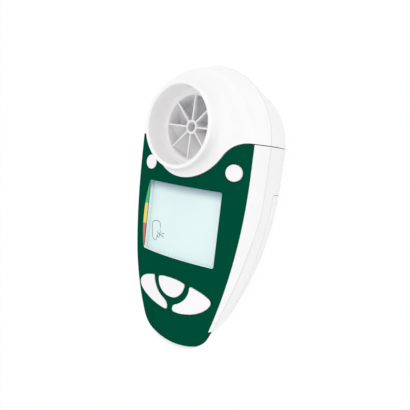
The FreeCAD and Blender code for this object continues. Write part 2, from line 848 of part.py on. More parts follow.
def make_rear():
    hollow = cut("rear_hollow", inner_rear, wall_zone)
    shell = cut("rear_shell_skin", outer_rear, hollow, zone)
    door_room = box(
        "door_room", -wide, wide, toe_end - 5, down(d.door_top), low,
        d.door_split + d.door_gap)
    ring = cut("rear_shell_ring", shell, door_room)

    bay_top = down(d.door_top)
    bay_wall = common(
        "bay_wall",
        box("bay_wall_block", -wide, wide, bay_top, bay_top + d.end_wall, 0,
            tray_height + d.tray_thickness),
        outer_rear)
    tray = common(
        "tray",
        box("tray_block", -wide, wide, toe_end, bay_top + d.end_wall,
            tray_height, tray_height + d.tray_thickness),
        rear_form("tray_limit", d.rear_wall / 2))
    cells_low = bay_top - d.contact_room - d.cell_length
    rib_low = cells_low
    rib_high = bay_top
    rib_foot = d.door_split + d.door_gap * 2
    inner_door = rear_form("door_inside", d.rear_wall + d.door_gap * 2)
    cradle_block = box(
        "cradle_block", -(d.cell_spacing / 2 + d.cell_radius + 1.6),
        d.cell_spacing / 2 + d.cell_radius + 1.6, rib_low, rib_high,
        rib_foot, tray_height)
    rooms = [
        rod(f"cell_room_{number}", d.cell_radius + d.cell_gap, x,
            rib_low - 1, rib_high, cell_z)
        for number, x in enumerate(cell_places())]
    cradle = cut("cradle", cradle_block, *rooms)
    end_y = cells_low - d.contact_room
    end_wall = common(
        "bay_end",
        box("bay_end_block", -(d.cell_spacing / 2 + d.cell_radius),
            d.cell_spacing / 2 + d.cell_radius, end_y - d.end_wall, end_y,
            d.rear_wall + d.door_gap * 2, tray_height + 0.5),
        inner_door)
    bosses = []
    drills = []
    for number, (x, y) in enumerate(screw_places()):
        bosses.append(cylinder(
            f"rear_boss_{number}", d.boss_radius, tray_height, d.board_height, x, y))
        drills.append(cylinder(
            f"rear_drill_{number}", d.screw_radius + d.screw_gap, low, high, x, y))
        drills.append(cylinder(
            f"rear_counterbore_{number}", d.screw_head_radius + d.screw_gap,
            low, tray_height + d.screw_head_height, x, y))
    solid = fuse("rear_shell_fuse", ring, bay_wall, tray, cradle, end_wall, *bosses)
    keep(cut("rear_shell_cut", solid, zone, *drills), "rear_shell")

    door_box = box(
        "door_block", -wide, wide, toe_end - 5, down(d.door_top + d.door_gap),
        low, d.door_split)
    skin = cut("door_skin", outer_rear, inner_rear)
    keep(common("door_common", skin, door_box), "battery_door")


# Keys and buttons

def make_key(label, outline):
    """A key with a skirt under the shell that keeps it from falling out."""
    key_foot = board_top + d.mat_thickness + d.key_travel + d.seat_gap
    cap = common(f"{label}_cap", outline(f"{label}_top", 0), raised_face)
    skirt = common(
        f"{label}_skirt", outline(f"{label}_flange", d.key_flange), key_ceiling)
    floor = box(f"{label}_floor", -wide, wide, toe_end, crown_end, low, key_foot)
    keep(cut(f"{label}_cut", fuse(f"{label}_fuse", cap, skirt), floor), label)


raised_face = front_form("raised_face", -d.key_proud)
key_ceiling = front_form("key_ceiling", inner_depth + d.key_gap)


def make_keys():
    make_key("enter_key", enter_prism)
    make_key("left_key", lambda name, grow: side_prism(name, grow, -1))
    make_key("right_key", lambda name, grow: side_prism(name, grow, 1))
    make_key("power_button", button_prism)
    mat = common(
        "mat_common", key_group("mat_outline", d.key_flange + d.key_gap),
        prism("mat_slab", REAR, d.board_inset, board_top, board_top + d.mat_thickness))
    relief = cylinder(
        "mat_relief", d.boss_radius + d.key_gap, low, high, 0, down(d.toe_screw_drop))
    keep(cut("mat_cut", mat, relief), "key_mat")
    half = d.switch_size / 2
    y = down(d.button_drop)
    case = box(
        "switch_case", d.button_x - half, d.button_x + half, y - half, y + half,
        board_top, board_top + d.switch_height)
    stem = cylinder(
        "switch_stem", d.button_radius / 3, board_top,
        board_top + d.mat_thickness, d.button_x, y)
    keep(fuse("switch_fuse", case, stem), "power_switch")


# Electronics

def make_board():
    slab = prism("board_slab", REAR, d.board_inset, d.board_height, board_top)
    clear = head_zone("board_clear", d.split_gap + d.end_wall + d.key_gap * 2)
    holes = [
        cylinder(f"board_hole_{number}", d.screw_radius + d.screw_gap, low, high, x, y)
        for number, (x, y) in enumerate(screw_places())]
    keep(cut("board_cut", slab, clear, *holes), "main_board")

    half = d.chip_size / 2
    chip_y = down(d.window_top + d.window_height / 2)
    keep(box(
        "chip", -half, half, chip_y - half, chip_y + half,
        d.board_height - d.chip_height, d.board_height), "controller_chip")
    keep(turned(
        "buzzer_body",
        ((d.spindle_radius, 0), (d.buzzer_radius, 0),
         (d.buzzer_radius, d.buzzer_height), (d.spindle_radius, d.buzzer_height)),
        0, down(d.keys_top + d.buzzer_radius * 2), d.board_height - d.buzzer_height),
        "buzzer")


def make_display():
    glass = window_prism(
        "glass_outline", d.glass_border, d.glass_top - d.glass_thickness, d.glass_top)
    keep(glass, "lcd_panel")
    frame_outer = window_prism(
        "frame_outer", d.glass_border + d.frame_wall, board_top,
        d.glass_top - d.glass_thickness / 2)
    frame_inner = window_prism(
        "frame_inner", d.glass_border + d.seat_gap, board_top - 1, form_top)
    keep(cut("frame_cut", frame_outer, frame_inner), "lcd_frame")
    strips = []
    top = down(d.window_top - d.glass_border)
    bottom = down(d.window_top + d.window_height + d.glass_border)
    half = d.window_width / 2
    for tag, low_y, high_y in (
            ("upper", top - d.connector_width, top),
            ("lower", bottom, bottom + d.connector_width)):
        strips.append(box(
            f"connector_{tag}", -half, half, low_y, high_y,
            board_top, d.glass_top - d.glass_thickness))
    keep(fuse("connector_pair", *strips), "lcd_connectors")


def make_sensor(label, side):
    """One half of the infra-red pair that watches the rotor through the sleeve."""
    x = d.sensor_x * side
    y = down(d.sensor_drop)
    half = d.sensor_size / 2
    case = box(
        f"{label}_case", x - half, x + half, y - half, y + half,
        board_top, board_top + d.sensor_height)
    keep(rounded(label, case, d.sensor_size / 5, upright), label)


# Power

def cell_places():
    return (-d.cell_spacing / 2, d.cell_spacing / 2)


def make_power():
    bay_top = down(d.door_top)
    cells_high = bay_top - d.contact_room
    cells_low = cells_high - d.cell_length
    can = d.cell_length - d.cell_nub_height
    profile = (
        (0, 0), (d.cell_radius, 0), (d.cell_radius, can),
        (d.cell_nub_radius, can), (d.cell_nub_radius, d.cell_length), (0, d.cell_length))
    left_x, right_x = cell_places()
    z = cell_z
    towards_toe = FreeCAD.Rotation(FreeCAD.Vector(1, 0, 0), 90)
    keep(turned("cell_left", profile, left_x, cells_low, z, ALONG_LENGTH), "battery_cell_left")
    keep(turned("cell_right", profile, right_x, cells_high, z, towards_toe), "battery_cell_right")

    plates = []
    half = d.contact_size / 2
    reach = d.contact_room - d.seat_gap
    bay_end = cells_low - d.contact_room
    for tag, x, wall_y, side, positive in (
            ("upper_left", left_x, bay_top, -1, True),
            ("upper_right", right_x, bay_top, -1, False),
            ("lower_left", left_x, bay_end, 1, False),
            ("lower_right", right_x, bay_end, 1, True)):
        inner_y = wall_y + d.contact_thickness * side
        low_y, high_y = (inner_y, wall_y) if side < 0 else (wall_y, inner_y)
        plate = box(
            f"plate_{tag}", x - half, x + half, low_y, high_y, z - half, z + half)
        if positive:
            tip_y = wall_y + reach * side
            low_tip, high_tip = (tip_y, wall_y) if side < 0 else (wall_y, tip_y)
            button = rod(f"button_{tag}", d.cell_nub_radius * 0.8, x, low_tip, high_tip, z)
            plate = fuse(f"contact_{tag}", plate, button)
        plates.append(plate)
    keep(fuse("contact_plates_fuse", *plates), "battery_contacts")


def make_springs():
    """Bowed leaf springs that press on the flat end of each cell."""
    bay_top = down(d.door_top)
    bay_end = bay_top - d.contact_room * 2 - d.cell_length
    left_x, right_x = cell_places()
    foot_end = d.spring_reach * 0.6
    crown_end_z = d.spring_reach * 0.2
    half = d.spring_width / 2
    springs = []
    for tag, x, wall_y, side in (
            ("left", left_x, bay_end, 1), ("right", right_x, bay_top, -1)):
        strip = d.spring_thickness * side
        foot = wall_y + (d.contact_thickness + d.seat_gap) * side
        crown = wall_y + (d.contact_room - d.seat_gap) * side
        spread = d.spring_thickness / 2
        back = ((foot, d.spring_reach), (foot, foot_end), (crown - strip, crown_end_z))
        face = (
            (crown, crown_end_z + spread), (foot + strip, foot_end + spread),
            (foot + strip, d.spring_reach))
        points = [(y, cell_z + z) for y, z in back]
        points += [(y, cell_z - z) for y, z in reversed(back)]
        points += [(y, cell_z - z) for y, z in reversed(face)]
        points += [(y, cell_z + z) for y, z in face]
        profile = doc.addObject("Sketcher::SketchObject", f"spring_{tag}_profile")
        draw_polygon(profile, points)
        springs.append(side_extrusion(f"spring_{tag}", profile, x - half, x + half))
    both = doc.addObject("Part::Compound", "spring_pair")
    both.Links = springs
    keep(both, "battery_springs")


# Flowhead

def make_flowhead():
    tube = cylinder(
        "socket_tube", d.tube_radius, d.parting_height, d.rim_height, 0, axis_y)
    dome = fuse("dome_fuse", outer_front, tube)
    rim = float(d.rim_height)
    foot = float(d.parting_height) + 1
    radius = float(d.tube_radius)

    def on_tube(edge):
        reach = [math.hypot(p.x, p.y - float(axis_y)) for p in edge.discretize(7)]
        return max(abs(r - radius) for r in reach) < 0.02

    def socket_foot(edge):
        box_of = edge.BoundBox
        between = box_of.ZMin > foot and box_of.ZMax < rim - 1e-3
        return between and on_tube(edge) and not upright(edge)

    flared = rounded("flared_dome", dome, d.flare_radius, socket_foot)

    front_zone = common("flowhead_front_zone", flared, flowhead_zone)
    sleeve_front = cylinder(
        "sleeve_front", sleeve_radius, low, turbine_front - 1, 0, axis_y)
    hollow = cut(
        "flowhead_front_hollow",
        common("flowhead_front_room",
               front_form("flowhead_inner", d.flowhead_wall), inner_zone),
        sleeve_front,
        cylinder("socket_core", sleeve_radius, low, high, 0, axis_y))
    socket = cylinder(
        "socket_bore", d.socket_radius, turbine_front, high, 0, axis_y)
    bore = cylinder("front_sleeve_bore", sleeve_bore, low, turbine_front + 1, 0, axis_y)
    shell = cut("flowhead_front_cut", front_zone, hollow, socket, bore)

    def lip(edge):
        box_of = edge.BoundBox
        return box_of.ZMin > rim - 1e-3 and box_of.XLength > 2

    keep(rounded("flowhead_front_lip", shell, d.rim_round, lip), "flowhead_front")

    rear_zone = common("flowhead_rear_zone", outer_rear, flowhead_zone)
    rear_hollow = cut(
        "flowhead_rear_hollow",
        common("flowhead_rear_room", inner_rear, inner_zone),
        cylinder("sleeve_rear", sleeve_radius, low, high, 0, axis_y))
    rear_bore = cylinder(
        "rear_sleeve_bore", sleeve_bore, d.outlet_lip, high, 0, axis_y)
    outlet = cylinder("outlet_bore", d.bore_radius, low, high, 0, axis_y)
    keep(cut("flowhead_rear_cut", rear_zone, rear_hollow, rear_bore, outlet),
         "flowhead_rear")


# Turbine

stator_back = turbine_front - d.stator_depth
rotor_top = stator_back - d.rotor_room
rotor_bottom = rotor_top - d.rotor_height
spider_top = rotor_bottom - d.rotor_room
spider_bottom = spider_top - d.spider_depth
ring_outer = d.bore_radius - d.turbine_gap
ring_inner = ring_outer - d.stator_ring


def make_turbine_tube():
    keep(turned(
        "turbine_tube_body",
        ((d.bore_radius, d.outlet_lip + d.seat_gap), (d.turbine_radius, d.outlet_lip + d.seat_gap),
         (d.turbine_radius, turbine_front), (d.bore_radius, turbine_front)),
        0, axis_y, 0), "turbine_tube")


def make_stator():
    """Eight swirl vanes that seat between a hub and a ring."""
    keep(turned(
        "stator_hub_body",
        ((d.bearing_radius, 0), (d.hub_radius, 0), (d.hub_radius, d.stator_depth),
         (d.hub_hollow, d.stator_depth), (d.hub_hollow, d.hub_floor),
         (d.bearing_radius, d.hub_floor)),
        0, axis_y, stator_back), "stator_hub")
    keep(turned(
        "stator_ring_body",
        ((ring_inner, 0), (ring_outer, 0), (ring_outer, d.stator_depth),
         (ring_inner, d.stator_depth)),
        0, axis_y, stator_back), "stator_ring")
    body = doc.addObject("PartDesign::Body", "vane_body")
    sections = []
    root = (d.hub_radius + d.hub_hollow) / 2
    tip = ring_inner + d.stator_ring / 2
    half = d.vane_thickness / 2
    for step in range(VANE_STEPS + 1):
        share = step / VANE_STEPS
        sketch = body_sketch(
            body, f"vane_section_{step}", "XY_Plane", d.stator_depth * share,
            (1 - share) * (1 - share) * float(d.vane_twist) - float(d.vane_lead))
        draw_polygon(sketch, ((root, -half), (tip, -half), (tip, half), (root, half)))
        sections.append(sketch)
    loft = body.newObject("PartDesign::AdditiveLoft", "vane_loft")
    loft.Profile = sections[0]
    loft.Sections = sections[1:]
    channel = turned(
        "vane_channel",
        ((d.hub_radius, -1), (ring_inner, -1), (ring_inner, d.stator_depth + 1),
         (d.hub_radius, d.stator_depth + 1)))
    vane = common("vane_trimmed", body, channel)
    vanes = []
    for number in range(VANE_COUNT):
        copy = doc.addObject("App::Link", f"vane_{number}")
        copy.LinkedObject = vane
        turn = FreeCAD.Rotation(UP, 360 * number / VANE_COUNT)
        vanes.append(place(copy, 0, axis_y, stator_back, turn))
    ring_of_vanes = doc.addObject("Part::Compound", "vane_ring")
    ring_of_vanes.Links = vanes
    keep(ring_of_vanes, "swirl_vanes")


def make_spider():
    """The rear stator: a hub on four straight legs inside a ring."""
    body = doc.addObject("PartDesign::Body", "spider_body")
    profile = body_sketch(body, "spider_hub_profile", "XZ_Plane")
    draw_polygon(profile, (
        (d.bearing_radius, 0), (d.hub_radius, 0), (d.hub_radius, d.spider_depth),
        (d.bearing_radius, d.spider_depth)))
    hub = body.newObject("PartDesign::Revolution", "spider_hub")
    hub.Profile = profile
    hub.ReferenceAxis = (profile, ["V_Axis"])
    hub.Angle = 360
    leg_sketch = body_sketch(body, "spider_leg_sketch", "XY_Plane")
    half = d.spider_leg / 2
    root = (d.hub_radius + d.bearing_radius) / 2
    tip = ring_inner + d.stator_ring / 2
    draw_polygon(leg_sketch, ((root, -half), (tip, -half), (tip, half), (root, half)))
    leg = body.newObject("PartDesign::Pad", "spider_leg_pad")
    leg.Profile = leg_sketch
    drive(leg, "Length", d.spider_depth)
    doc.recompute()
    legs = body.newObject("PartDesign::PolarPattern", "spider_legs")
    legs.Originals = [leg]
    legs.Axis = (profile, ["V_Axis"])
    legs.Angle = 360
    legs.Occurrences = SPIDER_LEGS
    body.Tip = legs
    ring_profile = body_sketch(body, "spider_ring_profile", "XZ_Plane")
    draw_polygon(ring_profile, (
        (ring_inner, 0), (ring_outer, 0), (ring_outer, d.spider_depth),
        (ring_inner, d.spider_depth)))
    ring = body.newObject("PartDesign::Revolution", "spider_ring_turn")
    ring.Profile = ring_profile
    ring.ReferenceAxis = (ring_profile, ["V_Axis"])
    ring.Angle = 360
    body.Tip = ring
    keep(place(body, 0, axis_y, spider_bottom), "rear_stator")


def make_rotor():
    half = d.rotor_thickness / 2
    blade = box(
        "rotor_blade", -d.rotor_radius, d.rotor_radius, axis_y - half, axis_y + half,
        rotor_bottom, rotor_top)
    hub = cylinder("rotor_hub_tube", d.rotor_hub, rotor_bottom, rotor_top, 0, axis_y)
    bore = cylinder("rotor_bore", d.spindle_radius, low, high, 0, axis_y)
    keep(cut("rotor_cut", fuse("rotor_fuse", blade, hub), bore), "rotor_vane")
    front_end = stator_back + d.bearing_length - d.seat_gap
    rear_end = spider_top - d.bearing_length + d.seat_gap
    keep(cylinder("spindle", d.spindle_radius, rear_end, front_end, 0, axis_y),
         "rotor_spindle")

    def bearing(label, z_low, z_high):
        keep(turned(
            f"{label}_body",
            ((d.spindle_radius + d.spindle_gap, z_low), (d.bearing_radius, z_low),
             (d.bearing_radius, z_high), (d.spindle_radius + d.spindle_gap, z_high)),
            0, axis_y, 0), label)

    bearing("front_bearing", stator_back, stator_back + d.bearing_length)
    bearing("rear_bearing", spider_top - d.bearing_length, spider_top)


# Fasteners

def make_screws():
    screws = []
    seat = tray_height + d.screw_head_height
    for number, (x, y) in enumerate(screw_places()):
        screws.append(turned(
            f"case_screw_{number}",
            ((0, seat - d.screw_head_height), (d.screw_head_radius, seat - d.screw_head_height),
             (d.screw_head_radius, seat), (d.screw_radius, seat),
             (d.screw_radius, seat + d.screw_length), (0, seat + d.screw_length)),
            x, y, 0))
    group = doc.addObject("Part::Compound", "case_screw_group")
    group.Links = screws
    keep(group, "case_screws")


def check_document():
    """Stops if any object failed or any sub-part has no valid solid."""
    doc.recompute()
    for item in doc.Objects:
        if "Invalid" in item.State or "Error" in item.State:
            raise RuntimeError(f"{item.Label} failed: {item.State}")
    for item in parts:
        shape = item.Shape
        if shape.isNull() or not shape.isValid() or not shape.Solids:
            raise RuntimeError(f"{item.Label} has no valid solid")


def write_parts():
    os.makedirs("parts", exist_ok=True)
    for item in parts:
        solids = item.Shape.Solids
        shape = solids[0] if len(solids) == 1 else Part.makeCompound(solids)
        shape.exportStep(f"parts/{item.Label}.step")
        print(item.Label, len(solids), round(shape.Volume, 1))


make_front()
make_rear()
make_keys()
make_board()
make_display()
make_sensor("ir_emitter", -1)
make_sensor("ir_detector", 1)
make_power()
make_springs()
make_flowhead()
make_turbine_tube()
make_stator()
make_spider()
make_rotor()
make_screws()
check_document()
write_parts()
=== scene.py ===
"""Dresses the lung function monitor: finishes, display, keys, seams and stage."""
import math

import bmesh
import bpy
from mathutils import Matrix, Vector
from mathutils.bvhtree import BVHTree
from mathutils.geometry import delaunay_2d_cdt


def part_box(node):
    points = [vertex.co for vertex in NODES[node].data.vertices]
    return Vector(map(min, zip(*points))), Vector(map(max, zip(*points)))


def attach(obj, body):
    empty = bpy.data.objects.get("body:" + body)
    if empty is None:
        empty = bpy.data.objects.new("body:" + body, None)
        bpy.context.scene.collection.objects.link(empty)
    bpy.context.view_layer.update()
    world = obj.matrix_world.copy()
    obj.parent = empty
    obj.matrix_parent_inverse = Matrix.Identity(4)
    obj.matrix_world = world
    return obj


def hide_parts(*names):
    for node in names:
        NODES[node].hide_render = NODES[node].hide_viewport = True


bl_info = {
    "name": "Lung Function Monitor",
    "version": (1, 0, 0),
    "blender": (4, 5, 0),
    "location": "View3D > Sidebar > Lung Monitor",
    "description": "Finishes and fine pieces of a hand-held lung function monitor",
    "category": "Object",
}

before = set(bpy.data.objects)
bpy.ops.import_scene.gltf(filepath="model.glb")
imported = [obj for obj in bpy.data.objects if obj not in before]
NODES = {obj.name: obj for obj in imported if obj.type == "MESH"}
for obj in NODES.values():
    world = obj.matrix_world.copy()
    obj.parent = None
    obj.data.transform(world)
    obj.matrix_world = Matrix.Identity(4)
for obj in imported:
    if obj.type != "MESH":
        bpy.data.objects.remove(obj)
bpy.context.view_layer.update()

MM = 0.001
UP = Vector((0.0, 0.0, 1.0))

# The crowned face, and where it rolls off to the toe
CREST_HEIGHT = 36.8 * MM
CROWN_RADIUS = 84.0 * MM
ROLL_START = -17.0 * MM
ROLL_RADIUS = 149.0 * MM

# Opposite corners of the window, and the centre of the oval
WINDOW = (Vector((-19.38, -19.78)) * MM, Vector((19.38, 9.58)) * MM)
OVAL_CENTRE = Vector((-20.1 * MM, 17.1 * MM))

# Depth of the key caps under the face, the button's cap, and the sheet round the keys
CAP_FOOT = 2.2 * MM
BUTTON_RADIUS = 3.18 * MM
WEB_THICKNESS = 0.5 * MM

# The edge of a shell at the parting line: its lowest height, and how far the face under it
# looks down and the face beside it leans
SEAM_LOWEST = 23 * MM
SEAM_DOWNWARD = -0.98
SEAM_LEAN = 0.45

# The first grip rib, how deep a rib's centre lies in its radius, and the back's rise in degrees
FIRST_RIB = -28 * MM
RIB_SINK = 0.45
BACK_RISE = 7.6

# The photograph's view, in metres, with the focal length in pixels of its frame
PHOTO_SIZE = 410
PHOTO_FOCAL = 496.01
SENSOR = 36.0
CAMERA_PLACE = Vector((0.13192, 0.02572, 0.18145))
CAMERA_LOOK = Vector((-0.6287, -0.1150, -0.7691))
CAMERA_RIGHT = Vector((0.7605, 0.1159, -0.6390))


def linear(code, alpha=1.0):
    """An sRGB hex colour as the linear colour that shaders use."""
    code = code.lstrip("#")
    channels = []
    for start in (0, 2, 4):
        value = int(code[start:start + 2], 16) / 255
        low = value / 12.92
        high = ((value + 0.055) / 1.055) ** 2.4
        channels.append(low if value <= 0.04045 else high)
    return (*channels, alpha)


def colour_property(name, code, description):
    return bpy.props.FloatVectorProperty(
        name=name, description=description, subtype="COLOR", size=4, min=0.0, max=1.0,
        default=linear(code))


def length_property(name, millimetres, description):
    return bpy.props.FloatProperty(
        name=name, description=description, default=millimetres * MM, unit="LENGTH",
        precision=5, min=0.0)


class MonitorSizes(bpy.types.PropertyGroup):
    """Sizes of the fine pieces."""

    key_round: length_property("Key rounding", 0.4, "Rounded rim of each key")
    key_proud: length_property("Key height", 0.5, "Keys above the face")
    key_clearance: length_property("Key clearance", 0.08, "Open gap round each key")
    seam_radius: length_property("Seam line", 0.09, "Half the width of the parting groove")
    film_depth: length_property("Display depth", 2.05, "Display film below the face")
    film_thickness: length_property("Film thickness", 0.1, "Sheet behind the lens")
    oval_width: length_property("Oval width", 7.9, "Bare oval on the fascia")
    oval_height: length_property("Oval height", 5.9, "Bare oval on the fascia")
    print_thickness: length_property("Print thickness", 0.04, "Ink on the fascia and film")
    icon_line: length_property("Symbol line", 0.34, "Line of the display symbol")
    rib_length: length_property("Rib length", 13.0, "Grip rib on the battery door")
    rib_radius: length_property("Rib radius", 0.45, "Grip rib on the battery door")
    rib_pitch: length_property("Rib pitch", 2.0, "Between the grip ribs")
    rib_count: bpy.props.IntProperty(
        name="Ribs", description="Grip ribs on the battery door", default=6, min=1)


class MonitorColours(bpy.types.PropertyGroup):
    """Colours of the finishes."""

    shell: colour_property("Case", "#F4F3F4", "Front and rear shell")
    flowhead: colour_property("Flowhead", "#F5F4F4", "Dome and mouthpiece socket")
    key: colour_property("Keys", "#F5F3F5", "Key caps and power button")
    fascia: colour_property("Fascia", "#004C37", "Printed overlay")
    film: colour_property("Display", "#E2F2F2", "Reflective display film")
    symbol: colour_property("Symbol", "#587274", "Display segments")
    high: colour_property("High zone", "#1EB46E", "Top of the colour scale")
    middle: colour_property("Middle zone", "#E6D24B", "Middle of the colour scale")
    lower: colour_property("Low zone", "#CD5A50", "Foot of the colour scale")
    stator: colour_property("Stator", "#EFEEEF", "Swirl vanes and rear stator")
    # Painted shade: this grey stands in for the shadow in the parting groove between the shells
    seam: colour_property("Parting line", "#CFCED0", "Groove between the shells")


def sizes():
    return bpy.context.scene.monitor_sizes


def colours():
    return bpy.context.scene.monitor_colours


# Shader helpers

def add_node(tree, kind, settings=None, values=None, links=None):
    """Adds one node with its settings, its socket values and its incoming links."""
    made = tree.nodes.new(kind)
    for name, value in (settings or {}).items():
        setattr(made, name, value)
    for name, value in (values or {}).items():
        made.inputs[name].default_value = value
    for name, socket in (links or {}).items():
        tree.links.new(socket, made.inputs[name])
    return made


def new_material(name):
    material = bpy.data.materials.new(name)
    material.use_nodes = True
    material.node_tree.nodes.clear()
    return material


def close_material(material, surface):
    tree = material.node_tree
    add_node(tree, "ShaderNodeOutputMaterial", links={"Surface": surface.outputs[0]})
    return material


def object_noise(tree, cell, detail=2.0, rough=0.5):
    """Noise on Object coordinates whose cells measure the given length."""
    place = add_node(tree, "ShaderNodeTexCoord")
    return add_node(
        tree, "ShaderNodeTexNoise",
        values={"Scale": 1.0 / cell, "Detail": detail, "Roughness": rough},
        links={"Vector": place.outputs["Object"]})


def spread(tree, source, low, high):
    """Maps a 0 to 1 value to a narrow band."""
    return add_node(
        tree, "ShaderNodeMapRange", values={"To Min": low, "To Max": high},
        links={"Value": source.outputs[0]})


def tinted(tree, source, colour, share):
    """The colour with a faint drift towards a darker shade of itself."""
    ramp = add_node(tree, "ShaderNodeValToRGB", links={"Fac": source.outputs[0]})
    darker = [channel * (1.0 - share) for channel in colour[:3]]
    ramp.color_ramp.elements[0].position = 0.3
    ramp.color_ramp.elements[0].color = (*darker, 1.0)
    ramp.color_ramp.elements[1].position = 0.7
    ramp.color_ramp.elements[1].color = colour
    return ramp


def moulded(name, colour, rough, grain=0.35, depth=0.01, edge=0.2, drift=0.03, **extra):
    """A moulded plastic: grain in mm, its depth in mm, and softly rounded edges."""
    material = new_material(name)
    tree = material.node_tree
    cloud = object_noise(tree, 14 * MM, 3.0)
    fine = object_noise(tree, grain * MM, 4.0, 0.6)
    rounding = add_node(
        tree, "ShaderNodeBevel", settings={"samples": 6}, values={"Radius": edge * MM})
    bump = add_node(
        tree, "ShaderNodeBump", values={"Strength": 0.5, "Distance": depth * MM},
        links={"Height": fine.outputs[0], "Normal": rounding.outputs[0]})
    rub = spread(tree, cloud, rough - 0.05, rough + 0.05)
    shader = add_node(
        tree, "ShaderNodeBsdfPrincipled",
        values={"IOR": 1.53, **extra},
        links={
            "Base Color": tinted(tree, cloud, colour, drift).outputs[0],
            "Roughness": rub.outputs[0], "Normal": bump.outputs[0]})
    return close_material(material, shader)


def drawn_steel(name, code, rough):
    """Metal whose fine lines run along the length."""
    material = new_material(name)
    tree = material.node_tree
    place = add_node(tree, "ShaderNodeTexCoord")
    along = add_node(
        tree, "ShaderNodeMapping", values={"Scale": (9000.0, 600.0, 9000.0)},
        links={"Vector": place.outputs["Object"]})
    lines = add_node(
        tree, "ShaderNodeTexNoise", values={"Scale": 1.0, "Detail": 3.0},
        links={"Vector": along.outputs[0]})
    bump = add_node(
        tree, "ShaderNodeBump", values={"Strength": 0.3, "Distance": 0.01 * MM},
        links={"Height": lines.outputs[0]})
    rub = spread(tree, lines, rough - 0.08, rough + 0.08)
    shader = add_node(
        tree, "ShaderNodeBsdfPrincipled",
        values={"Base Color": linear(code), "Metallic": 1.0},
        links={"Roughness": rub.outputs[0], "Normal": bump.outputs[0]})
    return close_material(material, shader)


def dress(material, *names):
    """Gives a material to CAD nodes."""
    for name in names:
        mesh = NODES[name].data
        mesh.materials.clear()
        mesh.materials.append(material)


# Mesh helpers

def merged_copy(node):
    """A clean bmesh of a CAD node, with its loose triangles joined."""
    clean = bmesh.new()
    clean.from_mesh(NODES[node].data)
    bmesh.ops.remove_doubles(clean, verts=clean.verts, dist=0.0005 * MM)
    return clean


def add_piece(name, mesh_source, material, body):
    """Makes an object from a bmesh and lets it ride on a body."""
    mesh = bpy.data.meshes.new(name)
    mesh_source.to_mesh(mesh)
    mesh_source.free()
    return add_mesh(name, mesh, material, body)


def add_mesh(name, mesh, material, body):
    piece = bpy.data.objects.new(name, mesh)
    bpy.context.scene.collection.objects.link(piece)
    mesh.materials.clear()
    mesh.materials.append(material)
    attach(piece, body)
    return piece


def smooth_by_angle(mesh_source, degrees):
    """Smooth faces, with the edges over an angle kept sharp."""
    for face in mesh_source.faces:
        face.smooth = True
    limit = math.radians(degrees)
    for edge in mesh_source.edges:
        edge.smooth = len(edge.link_faces) == 2 and edge.calc_face_angle(0.0) < limit


def surface_tree(node):
    shape = merged_copy(node)
    tree = BVHTree.FromBMesh(shape)
    shape.free()
    return tree


def on_surface(tree, x, y, lift):
    """The point of a front surface over x, y, raised by a lift."""
    place = tree.ray_cast(Vector((x, y, 0.2)), -UP)[0]
    if place is None:
        raise RuntimeError(f"nothing lies under {x:.4f}, {y:.4f}")
    return place + UP * lift


def face_height(x, depth=0.0):
    """Height of the crowned face between the brow and the toe roll."""
    return CREST_HEIGHT - CROWN_RADIUS + math.sqrt((CROWN_RADIUS - depth) ** 2 - x * x)


def face_place(x, y, lift=0.0):
    """A point over x, y on the crowned face, also where it rolls off to the toe."""
    height = face_height(x) + lift
    if y < ROLL_START:
        hub = CREST_HEIGHT - ROLL_RADIUS
        height = hub + math.sqrt((height - hub) ** 2 - (y - ROLL_START) ** 2)
    return Vector((x, y, height))


def thick_sheet(points, thickness):
    """A closed sheet from a grid of top points, thickened downwards."""
    sheet = bmesh.new()
    rows = []
    for row in points:
        top = [sheet.verts.new(point) for point in row]
        foot = [sheet.verts.new(point - UP * thickness) for point in row]
        rows.append((top, foot))
    for (top_a, foot_a), (top_b, foot_b) in zip(rows, rows[1:]):
        for number in range(len(top_a) - 1):
            sheet.faces.new(
                (top_a[number], top_a[number + 1], top_b[number + 1], top_b[number]))
            sheet.faces.new(
                (foot_a[number], foot_b[number], foot_b[number + 1], foot_a[number + 1]))
    first, last = rows[0], rows[-1]
    width = len(first[0])
    for (top, foot), step in ((first, 1), (last, -1)):
        for number in range(width - 1):
            loop = (top[number + 1], top[number], foot[number], foot[number + 1])
            sheet.faces.new(loop[::step])
    for (top_a, foot_a), (top_b, foot_b) in zip(rows, rows[1:]):
        sheet.faces.new((top_a[0], top_b[0], foot_b[0], foot_a[0]))
        sheet.faces.new((top_a[-1], foot_a[-1], foot_b[-1], top_b[-1]))
    bmesh.ops.recalc_face_normals(sheet, faces=sheet.faces)
    return sheet


# Geometry node helpers

def start_tree(name, sockets):
    """A geometry tree with a mesh in, a mesh out and named inputs."""
    tree = bpy.data.node_groups.new(name, "GeometryNodeTree")
    tree.interface.new_socket("Geometry", in_out="INPUT", socket_type="NodeSocketGeometry")
    for label, kind in sockets:
        tree.interface.new_socket(label, in_out="INPUT", socket_type=kind)
    tree.interface.new_socket("Geometry", in_out="OUTPUT", socket_type="NodeSocketGeometry")
    return tree, add_node(tree, "NodeGroupInput")


def end_tree(tree, entry, geometry):
    real = add_node(
        tree, "GeometryNodeRealizeInstances", links={"Geometry": geometry.outputs[0]})
    coated = add_node(
        tree, "GeometryNodeSetMaterial",
        links={"Geometry": real.outputs[0], "Material": entry.outputs["Material"]})
    add_node(tree, "NodeGroupOutput", links={"Geometry": coated.outputs[0]})


